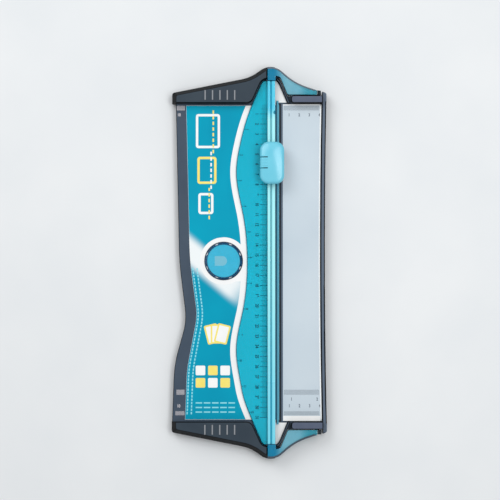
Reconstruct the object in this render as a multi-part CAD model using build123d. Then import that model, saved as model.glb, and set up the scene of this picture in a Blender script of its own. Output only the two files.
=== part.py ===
from build123d import *
from math import asin, cos, degrees, sqrt
import os

# A desk paper trimmer: a moulded tray with a fence at each end, and a hinged
# see-through arm that carries the ruler, the rail and the sliding cutter.
# X runs across the cut, Y along it, Z up. The origin is the middle of the
# footprint, on the table. All sizes are in millimetres.

# Levels
FOOT_HEIGHT = 1.5           # rubber feet below the rim of the tray
PLATFORM_Z = 10.0           # top of the platform
LIP_Z = 12.0                # top of the raised right-hand edge
RIM_Z = 15.5                # top of the thin rim beside the arch
END_TOP_Z = 19.5            # top of the end bars, hinge blocks and end arms
WALL = 2.4                  # moulded wall of the tray
COVER_WALL = 2.2            # moulded wall of the end bars
FIT = 0.6                   # gap between neighbours that part company
EDGE_ROUND = 0.8            # rounding of the mouldings' top edges
JOIN = 1.0                  # how far one feature reaches into the next one of its piece

# Outline of the far end: left corner, foot of the left slope, peak, foot of the
# right slope, right corner. The near end mirrors it.
HALF_WIDTH = 76.5
CORNER_Y = 168.0
CORNER_RADIUS = 3.0
LEFT_FOOT = (1.2, 183.4)
PEAK = (22.3, 198.7)
RIGHT_FOOT = (46.1, 178.1)
SLOPE_RADII = (40.0, 17.0, 60.0)
COVER_DRAFT = 4.2           # the end bars lean in this much from foot to top
ARM_DRAFT = 3.0             # and the end arms this much
END_ROOT_Y = 128.0          # the outline closes here, well inside the platform
BEYOND_X, BEYOND_Y = 81.5, 208.0    # past every side and end, for trimming

# Platform between the fences, with a hand scoop in its left edge
FENCE_Y = 157.3
PLATFORM_END = 159.3        # the platform runs on under the fences
RIGHT_WAIST = 74.8          # the right edge draws in to this at mid-length
LEFT_FAR, LEFT_MID, LEFT_NEAR = -72.9, -69.4, -76.2
SCOOP = (-62.2, -58.0)
SCOOP_END = (-74.2, -101.0)
MID_RADIUS, SCOOP_RADIUS, SCOOP_END_RADIUS = 300.0, 60.0, 120.0
LIP_WIDTH = 3.5
LIP_ROUND = 1.5             # rounding of the lip's outer edge

# Arch in each fence, which lets the rail and the slider run out past the paper
ARCH_LOW_Y = 149.3          # the outline starts inside the fence
ARCH_TOP_Y = 181.6
ARCH_FOOT = (1.6, 38.2)     # left and right flank at the fence
ARCH_TOP = (12.6, 28.0)     # left and right flank at the top
ARCH_RADIUS = 9.0
MOUTH_RADIUS = 7.0
RIM_WIDTH = 2.4
RIM_STEP = 0.5              # the rim stands back this much from the arm's opening
RIM_ROUND = 0.7

# Cutting line
BLADE_X = 30.3              # left face of the blade
BLADE_THICK = 0.5
MAT_LEFT, MAT_RIGHT = 29.6, 33.0
MAT_DEPTH = 3.0
GROOVE_LEFT, GROOVE_RIGHT = 29.9, 31.4
GROOVE_DEPTH = 1.6
PANEL_LEFT = 33.2
PANEL_SLOT = 1.3            # dark slot between the panel and the lip
PANEL_LOW, PANEL_HIGH = 9.0, 10.2
PANEL_GAP = 0.5

# Loose card on the platform
CARD_THICK = 0.5
CARD_FAR, CARD_NEAR = -62.7, -63.4      # left edge at both ends
CARD_EDGE = [(-58.9, 2.0), (-51.6, -53.0), (-61.6, -106.0)]     # and round the hand scoop
TONGUE_INSET = 2.0          # the tongue's left side stays under the ruler
CARD_RIGHT = 26.3
CARD_HALF = 155.4
CARD_TONGUE_Y = 158.4       # the right half of the card's tongue starts past the blade

# Rail: a foot, a narrow neck and a ridged head for the slider to hook round
RAIL_LEFT = 18.0
RAIL_HALF = 178.9
RAIL_BOTTOM = 11.0
FOOT_TOP = 12.6
FLANGE_RIGHT = 29.5
FLANGE_HALF = 155.5
TAB = (27.0, 29.0, 160.0)   # small tab past each end of the flange
NECK = (19.6, 24.0)
HEAD_BOTTOM, HEAD_TOP = 15.2, 18.0
HEAD_RIGHT = 25.6
HEAD_GROOVE = (20.7, 22.3)
HEAD_GROOVE_Z = 16.8
RIDGE_RADIUS = 0.8
PARK_NOTCH = (25.8, 147.8, 2.0)
TENON = (19.2, 24.8, 189.0)

# Ruler plate with its wavy left edge, from the far fence to mid-length
RULER_TOP = 13.0
RULER_END = (13.2, 180.2)
RULER_END_RADIUS = 5.0
WAVE = [(2.6, 156.0), (-9.2, 117.5), (-13.1, 89.0), (-6.2, 46.0), (-2.2, 0.0)]
WAVE_BEVEL = 0.8

# Hinge on the right
HINGE_X, HINGE_Z = 66.5, 15.0
PIN_RADIUS = 2.0
PIN_RUNNING_GAP = 0.06
PIN_INNER, PIN_OUTER = 158.6, 169.4
KNUCKLE_RADIUS = 4.5
BLOCK_LEFT, BLOCK_RIGHT = 41.6, 72.4
BLOCK_OUTER = 164.4
BLOCK_ROUND = 2.5
ZONE_INNER = 164.6          # the tray ends here below the arm
ZONE_RIGHT = 72.4           # and leaves an ear right of the hinge

# End arms
ARM_INNER = 165.2
ARM_BOTTOM = 12.0
ARM_ROOF = 17.5             # underside of the arm's top plate
ARM_WALL = 2.2
ARM_HOLLOW_RIGHT = 60.0
ARM_INNER_RADIUS = 4.5
ARM_SEAM_Y = 179.2
ARM_CORNER_Y = 183.6
TENON_ROOF = 12.9
JOINT_BLOCK_RIGHT = 28.5

# Slider, at the place along the rail where the cap is shown
SLIDER_Y = 97.2
RUNNER_X = (14.2, 29.4)
RUNNER_HALF = 16.0
RUNNER_Z = (13.4, 20.5)
RUNNER_FIT = 0.3            # gap all round the rail's head
WINDOW = (27.8, 7.6)        # blade window: left side, half length
GUARD_X = (31.5, 32.2)
GUARD_HALF = 9.2
GUARD_TOP = 17.5
SHOE_END = 17.8
SHOE_X = (16.0, 28.6)
SHOE_TOP = 19.3
CATCH_Y = (9.6, 12.4)       # where the cap is caught, on both sides of the rail and at both ends
LEDGE_X = (12.9, 31.6)      # how far the runner's ledges reach to the left and right
LEDGE_LOW = 19.6
SPRING_X, SPRING_OFFSET = 21.8, 10.0
SPRING_RADIUS, SPRING_WIRE, SPRING_TURNS = 2.8, 0.3, 4.5
SPRING_SEAT = 0.05          # gap at each end of the spring
POST_RADIUS, POST_TOP = 1.9, 24.2

# Push cap
CAP_MID_X = 22.5
CAP_SIZE = (23.8, 41.4)
CAP_CORNER = 8.5
CAP_BOTTOM, CAP_TOP = 19.0, 32.0
CAP_CROWN = 2.5             # the crown falls this much to each end
CAP_CAMBER = 1.6            # and this much to each side
CAP_EDGE = 3.2
CAP_WALL = 1.8
CAP_CEILING = 28.0
LUG_X = (13.7, 30.6)        # how far the cap's lugs reach in below the ledges
LUG_TOP = 19.5
RAIL_GAP = (17.2, 26.4, 21.5)   # way for the rail through the cap's ends: sides and top
SLEEVE = (3.6, 4.6, 23.7)   # spring sleeve: inside, outside, bottom
SLIT_OFFSET, SLIT_WIDTH, SLIT_END = 5.4, 1.0, 18.2
THUMB_RIBS = (-2.8, 0.0, 2.8)
THUMB_RIB = (13.4, 17.6, 0.55)

# Blade cartridge
BLADE_HALF = 5.25
BLADE_TIP, BLADE_SHOULDER, BLADE_TOP = 12.0, 18.4, 25.0
BLADE_BULGE = (0.6, 0.62)   # where the round edge passes, as shares of its depth and half width
CARRIER_LEFT = 28.2
CARRIER_HALF = 6.5
CARRIER_BOTTOM = 17.5
CARRIER_HEIGHT = CAP_CEILING - CARRIER_BOTTOM

# Spare-blade case
CASE_X, CASE_Y = -25.4, 1.1
WELL_RADIUS, WELL_FLOOR, WELL_WALL = 18.2, 3.5, 2.2
CUP_RADIUS, CUP_INNER, CUP_FLOOR = 18.0, 16.6, 4.7
TRACK_RADIUS, TRACK_LOW, TRACK_HIGH = 17.3, 6.8, 8.4
LID_RADIUS, LID_LOW, LID_HIGH = 18.2, 10.3, 12.2
LID_BEVEL = 1.2
PLUG_OUTER, PLUG_INNER, PLUG_LOW = 16.3, 14.8, 6.9
LUG_RADIUS, LUG_LOW, LUG_HIGH = 17.0, 7.0, 8.1
LUG_COUNT, LUG_ANGLE, ENTRY_ANGLE, TWIST = 3, 26.0, 34.0, 60.0
GRIP_COUNT, GRIP_RADIUS, GRIP_RING = 8, 2.4, 19.4
SPARE_X = -34.6             # straight back of the spare blade
SPARE_BACK = -35.6          # and of its carrier
CARD_HOLE = 19.2

# Grip ribs on the end bars
RIB_X, RIB_PITCH, RIB_COUNT = -43.6, 7.3, 5
RIB_Y = (160.1, 169.6)
RIB_RADIUS = 0.9
RIB_Z = 19.2

# Feet, ribs of the tray and screws
FOOT_X = (-61.5, 62.0)
FOOT_Y = (-147.0, 16.0, 147.0)
FOOT_RADIUS, FOOT_STEM, FOOT_STEM_TOP, FOOT_BOSS = 5.0, 2.0, 5.0, 6.2
FOOT_CHAMFER = 0.5
CROSS_RIBS = (-125.0, -75.0, -35.0, 40.0, 85.0, 125.0)
LONG_RIBS = (-48.0, 2.0, 52.0)
RIB_THICK, RIB_DEPTH = 1.8, 1.5
COVER_SCREWS = [(-57.0, 163.6), (-8.0, 168.0)]
BLOCK_SCREWS = [(50.0, 160.6), (59.5, 160.6)]
ARM_SCREW = (22.0, 186.0)
SCREW_RADIUS, SCREW_HOLE, SCREW_HEAD, SCREW_HEAD_HEIGHT = 1.4, 1.45, 2.7, 1.6
SCREW_TOP = 16.0
SCREW_BOSS = 3.2
SCREW_SLOT = (3.2, 0.8)     # cross slot: length and width
COUNTERSINK_GAP = 0.06


def box_between(low, high):
    """A box given by its lowest and highest corners."""
    size = [b - a for a, b in zip(low, high)]
    return Pos(*low) * Box(*size, align=(Align.MIN, Align.MIN, Align.MIN))


def post(x, y, z_low, z_high, radius):
    """An upright cylinder between two heights."""
    upright = Cylinder(radius, z_high - z_low, align=(Align.CENTER, Align.CENTER, Align.MIN))
    return Pos(x, y, z_low) * upright


def bar_along_y(x, z, y_low, y_high, radius):
    """A round bar along Y between two places."""
    bar = Cylinder(radius, y_high - y_low, align=(Align.CENTER, Align.CENTER, Align.MAX))
    return Pos(x, y_low, z) * Rot(90, 0, 0) * bar


def outline(points, radii):
    """A closed flat outline with its corners rounded."""
    return make_face(FilletPolyline(*points, radius=radii, close=True))


def slab(face, z_low, z_high):
    """A flat outline raised between two heights."""
    return Pos(0, 0, z_low) * extrude(face, amount=z_high - z_low, dir=(0, 0, 1))


def rectangle(x_low, x_high, y_low, y_high):
    """A flat rectangle between its sides."""
    return Pos((x_low + x_high) / 2, (y_low + y_high) / 2) * Rectangle(x_high - x_low, y_high - y_low)


def round_top(block, radius):
    """The same block with every edge of its top face rounded."""
    return fillet(block.faces().sort_by(Axis.Z)[-1].edges(), radius)


def near_copy(shape):
    """The same shape at the near end, mirrored about mid-length."""
    return mirror(shape, about=Plane.XZ)


def flank_x(side, y):
    """Where the arch's left (0) or right (1) flank is at a place along Y."""
    rise = (y - FENCE_Y) / (ARCH_TOP_Y - FENCE_Y)
    return ARCH_FOOT[side] + (ARCH_TOP[side] - ARCH_FOOT[side]) * rise


def end_plan(corner):
    """Outline of the far end, closed well inside the platform, with its outer corners rounded that much."""
    points = [(-HALF_WIDTH, END_ROOT_Y), (-HALF_WIDTH, CORNER_Y), LEFT_FOOT, PEAK, RIGHT_FOOT,
              (HALF_WIDTH, CORNER_Y), (HALF_WIDTH, END_ROOT_Y)]
    return outline(points, [0, corner, *SLOPE_RADII, corner, 0])


def end_blank(draft, inset=0):
    """The far end as a block that leans in from the platform up to its top, or one that far inside it."""
    plan = end_plan(0)
    foot = offset(plan, amount=-inset) if inset else plan
    top = offset(plan, amount=-inset - draft)
    block = loft([Pos(0, 0, PLATFORM_Z) * foot, Pos(0, 0, END_TOP_Z) * top], ruled=True)
    leaning = block.edges().filter_by(lambda edge: edge.bounding_box().size.Z > JOIN)
    left_corner = leaning.filter_by(lambda edge: edge.center().Y > PLATFORM_END).sort_by(Axis.X)[0]
    return fillet(left_corner, CORNER_RADIUS)


def arch_plan():
    """The arch-shaped opening in the far fence."""
    points = [(flank_x(0, ARCH_LOW_Y), ARCH_LOW_Y), (ARCH_TOP[0], ARCH_TOP_Y),
              (ARCH_TOP[1], ARCH_TOP_Y), (flank_x(1, ARCH_LOW_Y), ARCH_LOW_Y)]
    return outline(points, [0, ARCH_RADIUS, ARCH_RADIUS, 0])


def arm_zone():
    """The far-end area on the right where only the arm stands, with no tray below."""
    left_foot = flank_x(1, ZONE_INNER) + RIM_WIDTH
    left_top = flank_x(1, BEYOND_Y) + RIM_WIDTH
    return make_face(Polyline((left_foot, ZONE_INNER), (ZONE_RIGHT, ZONE_INNER), (ZONE_RIGHT, BEYOND_Y),
                              (left_top, BEYOND_Y), close=True))


def right_edge(inset):
    """The tray's right edge, drawn in at mid-length, or a line that far inside it."""
    return ThreePointArc((HALF_WIDTH - inset, PLATFORM_END), (RIGHT_WAIST - inset, 0),
                         (HALF_WIDTH - inset, -PLATFORM_END))


def platform_plan():
    """Outline of the platform, with its scooped left edge."""
    left = FilletPolyline((HALF_WIDTH, PLATFORM_END), (LEFT_FAR, PLATFORM_END), (LEFT_MID, 0), SCOOP,
                          SCOOP_END, (LEFT_NEAR, -PLATFORM_END), (HALF_WIDTH, -PLATFORM_END),
                          radius=[0, MID_RADIUS, SCOOP_RADIUS, SCOOP_END_RADIUS, 0])
    return make_face([*left.edges(), *right_edge(0).edges()])


def lip_plan():
    """Outline of the raised strip along the right edge."""
    far = Line((HALF_WIDTH, PLATFORM_END), (HALF_WIDTH - LIP_WIDTH, PLATFORM_END))
    near = near_copy(far)
    return make_face([*right_edge(0).edges(), *far.edges(), *right_edge(LIP_WIDTH).edges(), *near.edges()])


def tray_plan():
    """Outline of the whole tray."""
    far_end = end_plan(CORNER_RADIUS) & rectangle(-HALF_WIDTH, HALF_WIDTH, FENCE_Y, BEYOND_Y)
    far_end -= arm_zone()
    return platform_plan() + far_end + near_copy(far_end)


def both_ends(places):
    """The far places and the same places at the near end."""
    return places + [(x, -y) for x, y in places]


def tray_pocket(plan):
    """The hollow under the tray: the outline drawn in by one wall, less the ribs."""
    pocket = slab(offset(plan, amount=-WALL), FOOT_HEIGHT, PLATFORM_Z - WALL)
    half = RIB_THICK / 2
    rib_low = PLATFORM_Z - WALL - RIB_DEPTH
    for y in CROSS_RIBS:
        pocket -= box_between((-HALF_WIDTH, y - half, rib_low), (HALF_WIDTH, y + half, PLATFORM_Z))
    for x in LONG_RIBS:
        pocket -= box_between((x - half, -FENCE_Y, rib_low), (x + half, FENCE_Y, PLATFORM_Z))
    pocket -= box_between((MAT_LEFT - WALL, -FENCE_Y - WALL, PLATFORM_Z - MAT_DEPTH - WALL),
                          (MAT_RIGHT + WALL, FENCE_Y + WALL, PLATFORM_Z))
    pocket -= post(CASE_X, CASE_Y, 0, PLATFORM_Z, WELL_RADIUS + WELL_WALL)
    for x in FOOT_X:
        for y in FOOT_Y:
            pocket -= post(x, y, 0, PLATFORM_Z, FOOT_BOSS)
    return pocket


def round_left_edge(block):
    """The tray block with the platform's left edge rounded between the fences."""
    edges = block.faces().sort_by(Axis.Z)[-1].edges()
    left = [edge for edge in edges if edge.center().X < CASE_X and abs(edge.center().Y) < FENCE_Y - JOIN]
    return fillet(left, EDGE_ROUND)


def round_outer_edge(lip):
    """The right lip with the outer long edge of its top rounded."""
    edges = lip.faces().sort_by(Axis.Z)[-1].edges()
    return fillet(edges.filter_by(lambda edge: edge.length > PLATFORM_END).sort_by(Axis.X)[-1], LIP_ROUND)


def base_shell():
    """The moulded tray: platform, skirt, ribs, right lip and the rim beside each arch."""
    plan = tray_plan()
    shell = round_left_edge(slab(plan, FOOT_HEIGHT, PLATFORM_Z))
    shell += round_outer_edge(slab(lip_plan(), PLATFORM_Z, LIP_Z))
    ear = plan & rectangle(HALF_WIDTH - LIP_WIDTH, HALF_WIDTH, PLATFORM_END, CORNER_Y)
    for side in (ear, near_copy(ear)):
        shell += slab(side, PLATFORM_Z, LIP_Z)
    rim = offset(arch_plan(), amount=RIM_WIDTH - RIM_STEP) - arch_plan()
    rim &= rectangle(ARCH_TOP[1] - JOIN, BLOCK_LEFT - FIT, FENCE_Y, BEYOND_Y)
    rim &= plan
    rim = round_top(slab(rim, PLATFORM_Z - JOIN, RIM_Z), RIM_ROUND)
    for side in (rim, near_copy(rim)):
        shell += side
    shell -= tray_pocket(plan)
    shell -= box_between((MAT_LEFT, -FENCE_Y, PLATFORM_Z - MAT_DEPTH), (MAT_RIGHT, FENCE_Y, PLATFORM_Z))
    shell -= slab(panel_plan(0, 0), PANEL_LOW, PLATFORM_Z)
    shell -= post(CASE_X, CASE_Y, WELL_FLOOR, PLATFORM_Z, WELL_RADIUS)
    for x in FOOT_X:
        for y in FOOT_Y:
            shell -= post(x, y, 0, FOOT_STEM_TOP + FIT, FOOT_STEM)
    for x, y in both_ends(COVER_SCREWS + BLOCK_SCREWS):
        shell -= post(x, y, 0, PLATFORM_Z, SCREW_HOLE)
        shell -= post(x, y, 0, PLATFORM_Z - WALL, SCREW_HEAD + FIT)
    return shell


def far_end_cover():
    """The far end bar: a hollow raised block left of the rail, with five grip ribs."""
    region = outline([(-BEYOND_X, FENCE_Y), (ARCH_FOOT[0], FENCE_Y), (ARCH_TOP[0], ARCH_TOP_Y),
                      (ARCH_TOP[1], ARCH_TOP_Y), (ARCH_TOP[1], BEYOND_Y), (-BEYOND_X, BEYOND_Y)],
                     [0, MOUTH_RADIUS, ARCH_RADIUS, 0, 0, 0])
    region &= rectangle(-BEYOND_X, RAIL_LEFT - FIT, FENCE_Y, BEYOND_Y)
    cover = round_top(end_blank(COVER_DRAFT) & slab(region, PLATFORM_Z, END_TOP_Z), EDGE_ROUND)
    inside = offset(end_plan(0) & region, amount=-COVER_WALL - COVER_DRAFT / 2)
    cavity = slab(inside, PLATFORM_Z, END_TOP_Z - COVER_WALL)
    for x, y in COVER_SCREWS:
        cavity -= post(x, y, PLATFORM_Z, END_TOP_Z, SCREW_BOSS)
    cover -= cavity
    for index in range(RIB_COUNT):
        x = RIB_X + index * RIB_PITCH
        cover += bar_along_y(x, RIB_Z, *RIB_Y, RIB_RADIUS)
    for x, y in COVER_SCREWS:
        cover -= post(x, y, PLATFORM_Z, SCREW_TOP + FIT, SCREW_HOLE)
    return cover


def far_hinge_block():
    """The short fence right of the arch, bored for the hinge pin."""
    plan = rectangle(BLOCK_LEFT, BLOCK_RIGHT, FENCE_Y, BLOCK_OUTER)
    block = slab(plan, PLATFORM_Z, END_TOP_Z)
    left_corners = block.edges().filter_by(Axis.Z).sort_by(Axis.X)[:2]
    block = fillet(left_corners, BLOCK_ROUND)
    block = round_top(block, EDGE_ROUND)
    block -= bar_along_y(HINGE_X, HINGE_Z, PIN_INNER - FIT, BLOCK_OUTER, PIN_RADIUS)
    for x, y in BLOCK_SCREWS:
        block -= post(x, y, PLATFORM_Z, SCREW_TOP + FIT, SCREW_HOLE)
    return block


def far_hinge_pin():
    """Steel pin, pressed into the block and running in the arm."""
    return bar_along_y(HINGE_X, HINGE_Z, PIN_INNER, PIN_OUTER, PIN_RADIUS)


def panel_plan(gap, slot):
    """Outline of the scale panel's place beside the lip, less a gap at its ends and a slot at its right."""
    inner = rectangle(PANEL_LEFT, HALF_WIDTH, gap - FENCE_Y, FENCE_Y - gap)
    return inner & (Pos(-LIP_WIDTH - slot, 0) * platform_plan())


def offcut_panel():
    """Light scale panel let into the tray, right of the cut."""
    return slab(panel_plan(PANEL_GAP, PANEL_SLOT), PANEL_LOW, PANEL_HIGH)


def cutting_mat():
    """Soft strip under the blade, with a groove for its tip."""
    strip = box_between((MAT_LEFT, -FENCE_Y, PLATFORM_Z - MAT_DEPTH), (MAT_RIGHT, FENCE_Y, PLATFORM_Z))
    groove_floor = PLATFORM_Z - GROOVE_DEPTH
    return strip - box_between((GROOVE_LEFT, -FENCE_Y, groove_floor), (GROOVE_RIGHT, FENCE_Y, PLATFORM_Z))


def platform_card():
    """The loose card: platform area left of the cut, a tongue in each arch, a hole for the case."""
    points = [(CARD_RIGHT, CARD_HALF), (CARD_FAR, CARD_HALF), *CARD_EDGE, (CARD_NEAR, -CARD_HALF),
              (CARD_RIGHT, -CARD_HALF)]
    sheet = outline(points, [0, 0, MID_RADIUS, SCOOP_RADIUS, SCOOP_END_RADIUS, 0, 0])
    tongue = offset(arch_plan(), amount=-FIT)
    tongue &= Pos(TONGUE_INSET, 0) * arch_plan()
    tongue &= rectangle(-HALF_WIDTH, HALF_WIDTH, CARD_HALF - JOIN, BEYOND_Y)
    tongue -= rectangle(CARD_RIGHT, HALF_WIDTH, 0, CARD_TONGUE_Y)
    sheet += tongue
    sheet += near_copy(tongue)
    sheet -= Pos(CASE_X, CASE_Y) * Circle(CARD_HOLE)
    return slab(sheet, PLATFORM_Z, PLATFORM_Z + CARD_THICK)


def rubber_feet():
    """Six round feet, each with a stem pushed into its boss."""
    feet = []
    for x in FOOT_X:
        for y in FOOT_Y:
            foot = post(x, y, 0, FOOT_HEIGHT, FOOT_RADIUS)
            foot = chamfer(foot.edges().filter_by(GeomType.CIRCLE).sort_by(Axis.Z)[0], FOOT_CHAMFER)
            feet.append(foot + post(x, y, 0, FOOT_STEM_TOP, FOOT_STEM))
    return Compound(children=feet)


def screws(places, head_top):
    """Pan-head screws pointing up, with a cross slot in each head."""
    group = []
    for x, y in places:
        head_low = head_top - SCREW_HEAD_HEIGHT
        screw = post(x, y, head_low, head_top, SCREW_HEAD) + post(x, y, head_low, SCREW_TOP, SCREW_RADIUS)
        for length, width in (SCREW_SLOT, SCREW_SLOT[::-1]):
            screw -= Pos(x, y, head_low) * Box(length, width, SCREW_HEAD_HEIGHT)
        group.append(screw)
    return Compound(children=group)


def rail_profile():
    """Section of the rail across X and Z: foot with flange, neck, head with two ridges."""
    points = [(RAIL_LEFT, RAIL_BOTTOM), (FLANGE_RIGHT, RAIL_BOTTOM), (FLANGE_RIGHT, FOOT_TOP),
              (NECK[1], FOOT_TOP), (NECK[1], HEAD_BOTTOM), (HEAD_RIGHT, HEAD_BOTTOM), (HEAD_RIGHT, HEAD_TOP),
              (HEAD_GROOVE[1], HEAD_TOP), (HEAD_GROOVE[1], HEAD_GROOVE_Z), (HEAD_GROOVE[0], HEAD_GROOVE_Z),
              (HEAD_GROOVE[0], HEAD_TOP), (RAIL_LEFT, HEAD_TOP), (RAIL_LEFT, HEAD_BOTTOM),
              (NECK[0], HEAD_BOTTOM), (NECK[0], FOOT_TOP), (RAIL_LEFT, FOOT_TOP)]
    ridge = RIDGE_RADIUS
    radii = [0, 0, ridge / 2, 0, 0, 0, ridge, ridge, 0, 0, ridge, ridge, 0, 0, 0, 0]
    return outline(points, radii)


def guide_rail():
    """The rail: one section, its flange cut back to tabs, a parking notch and two tenons."""
    section = Plane.XZ * rail_profile()
    rail = extrude(section, amount=RAIL_HALF, both=True)
    tab_left, tab_right, tab_end = TAB
    for side in (1, -1):
        ends = sorted((side * FLANGE_HALF, side * BEYOND_Y))
        beyond_flange = box_between((HEAD_RIGHT, ends[0], 0), (HALF_WIDTH, ends[1], HEAD_BOTTOM))
        tab_ends = sorted((side * FLANGE_HALF, side * tab_end))
        tab = box_between((tab_left, tab_ends[0], 0), (tab_right, tab_ends[1], HEAD_BOTTOM))
        rail -= beyond_flange - tab
        tenon_ends = sorted((side * (RAIL_HALF - JOIN), side * TENON[2]))
        rail += box_between((TENON[0], tenon_ends[0], RAIL_BOTTOM), (TENON[1], tenon_ends[1], FOOT_TOP))
        rail -= countersink(ARM_SCREW[0], side * ARM_SCREW[1], COUNTERSINK_GAP)
    rail -= post(PARK_NOTCH[0], PARK_NOTCH[1], HEAD_BOTTOM, HEAD_TOP, PARK_NOTCH[2])
    return rail


def countersink(x, y, gap):
    """A countersunk screw pointing up from the rail's underside, grown by a gap."""
    cone = Cone(SCREW_HEAD + gap, SCREW_RADIUS + gap, SCREW_HEAD - SCREW_RADIUS,
                align=(Align.CENTER, Align.CENTER, Align.MIN))
    shank = post(x, y, RAIL_BOTTOM, SCREW_TOP + gap, SCREW_RADIUS + gap)
    return Pos(x, y, RAIL_BOTTOM) * cone + shank


def arm_screws():
    """Two countersunk screws, one through each tenon."""
    x, y = ARM_SCREW
    return Compound(children=[countersink(x, y, 0), countersink(x, -y, 0)])


def clear_ruler():
    """The ruler plate: straight against the rail, wavy on its left, reaching into both arches."""
    near_wave = [(x, -y) for x, y in reversed(WAVE[:-1])]
    flank = (WAVE[0][0] - RULER_END[0], WAVE[0][1] - RULER_END[1])
    edge = Spline(*WAVE, *near_wave, tangents=(flank, (-flank[0], flank[1])))
    far = FilletPolyline((RAIL_LEFT, RULER_END[1]), RULER_END, WAVE[0], radius=[RULER_END_RADIUS])
    near = near_copy(far)
    back = Line((RAIL_LEFT, RULER_END[1]), (RAIL_LEFT, -RULER_END[1]))
    plan = make_face([*far.edges(), *edge.edges(), *near.edges(), *back.edges()])
    plate = slab(plan, RAIL_BOTTOM, RULER_TOP)
    wavy = plate.edges().filter_by(GeomType.BSPLINE).sort_by(Axis.Z)[-1]
    return chamfer(wavy, WAVE_BEVEL)


def far_end_arm():
    """The swept arm from the rail's end to the hinge: a hollow shell with a knuckle."""
    inner_x = flank_x(1, ARM_INNER) + RIM_WIDTH + FIT
    corner_x = flank_x(1, ARM_CORNER_Y) + RIM_WIDTH + FIT
    seam_x = HEAD_RIGHT + FIT
    region = outline([(RAIL_LEFT, ARM_SEAM_Y), (seam_x, ARM_SEAM_Y), (seam_x, ARM_CORNER_Y),
                      (corner_x, ARM_CORNER_Y), (inner_x, ARM_INNER), (HINGE_X, ARM_INNER),
                      (HINGE_X, BEYOND_Y), (RAIL_LEFT, BEYOND_Y)],
                     [0, 0, 0, ARM_INNER_RADIUS, BLOCK_ROUND, 0, 0, 0])
    arm = round_top(end_blank(ARM_DRAFT) & slab(region, ARM_BOTTOM, END_TOP_Z), EDGE_ROUND)
    inner = offset(region, amount=-ARM_WALL) & rectangle(JOINT_BLOCK_RIGHT, ARM_HOLLOW_RIGHT, 0, BEYOND_Y)
    arm -= end_blank(ARM_DRAFT, ARM_WALL) & slab(inner, ARM_BOTTOM, ARM_ROOF)
    arm -= box_between((0, 0, ARM_BOTTOM), (HEAD_RIGHT, BEYOND_Y, TENON_ROOF))
    arm += bar_along_y(HINGE_X, HINGE_Z, ARM_INNER, PIN_OUTER, KNUCKLE_RADIUS)
    arm -= bar_along_y(HINGE_X, HINGE_Z, ARM_INNER, BEYOND_Y, PIN_RADIUS + PIN_RUNNING_GAP)
    arm -= countersink(*ARM_SCREW, COUNTERSINK_GAP)
    return arm


def rail_channel(y_low, y_high):
    """The space that the rail's head and neck take, with the running gap all round."""
    gap = RUNNER_FIT
    head = box_between((RAIL_LEFT - gap, y_low, HEAD_BOTTOM - gap),
                       (HEAD_RIGHT + gap, y_high, HEAD_TOP + gap))
    neck = box_between((NECK[0] - gap, y_low, 0), (NECK[1] + gap, y_high, HEAD_BOTTOM))
    return head + neck


def slider_runner():
    """Carriage that hooks round the rail's head, with spring posts and a guard for the blade."""
    left, right = RUNNER_X
    low, high = RUNNER_Z
    runner = box_between((left, -RUNNER_HALF, low), (right, RUNNER_HALF, high))
    runner -= rail_channel(-RUNNER_HALF, RUNNER_HALF)
    window_left, window_half = WINDOW
    guard_left, guard_right = GUARD_X
    runner += box_between((right - JOIN, -GUARD_HALF, low), (guard_right, GUARD_HALF, GUARD_TOP))
    runner += box_between((FLANGE_RIGHT + RUNNER_FIT, -GUARD_HALF, RAIL_BOTTOM),
                          (guard_right, GUARD_HALF, low))
    runner -= box_between((window_left, -window_half, 0), (guard_left, window_half, high))
    for side in (1, -1):
        runner += post(SPRING_X, side * SPRING_OFFSET, high, POST_TOP, POST_RADIUS)
        ends = sorted(side * y for y in CATCH_Y)
        runner += box_between((LEDGE_X[0], ends[0], LEDGE_LOW), (left + JOIN, ends[1], high))
        runner += box_between((right - JOIN, ends[0], LEDGE_LOW), (LEDGE_X[1], ends[1], high))
    return Pos(0, SLIDER_Y, 0) * runner


def glide_shoe(side):
    """A low-friction end pad of the runner, far (1) or near (-1)."""
    ends = sorted((side * RUNNER_HALF, side * SHOE_END))
    shoe = box_between((SHOE_X[0], ends[0], RUNNER_Z[0]), (SHOE_X[1], ends[1], SHOE_TOP))
    shoe -= rail_channel(*ends)
    return Pos(0, SLIDER_Y, 0) * shoe


def return_spring(side):
    """A coil spring round the far (1) or near (-1) post, between runner and cap."""
    low = RUNNER_Z[1] + SPRING_WIRE + SPRING_SEAT
    height = CAP_CEILING - SPRING_WIRE - SPRING_SEAT - low
    path = Helix(pitch=height / SPRING_TURNS, height=height, radius=SPRING_RADIUS)
    start = Plane(origin=path @ 0, z_dir=path % 0)
    coil = sweep(start * Circle(SPRING_WIRE), path=path)
    return Pos(SPRING_X, SLIDER_Y + side * SPRING_OFFSET, low) * coil


def arc_radius(span, rise):
    """Radius of the arc that rises that much over a span."""
    return (span ** 2 / 4 + rise ** 2) / (2 * rise)


def barrel():
    """A barrel along Y whose back has the cap's crown from end to end and its camber from side to side."""
    width, length = CAP_SIZE
    axis_z = CAP_TOP - arc_radius(width, CAP_CAMBER)
    crown = arc_radius(length, CAP_CROWN)
    reach = length / 2 + JOIN
    end_z = CAP_TOP - crown + sqrt(crown ** 2 - reach ** 2)
    back = ThreePointArc((0, -reach, end_z), (0, 0, CAP_TOP), (0, reach, end_z))
    ends = Polyline((0, reach, end_z), (0, reach, axis_z), (0, -reach, axis_z), (0, -reach, end_z))
    return revolve(make_face([*back.edges(), *ends.edges()]), axis=Axis((0, 0, axis_z), (0, 1, 0)))


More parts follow.
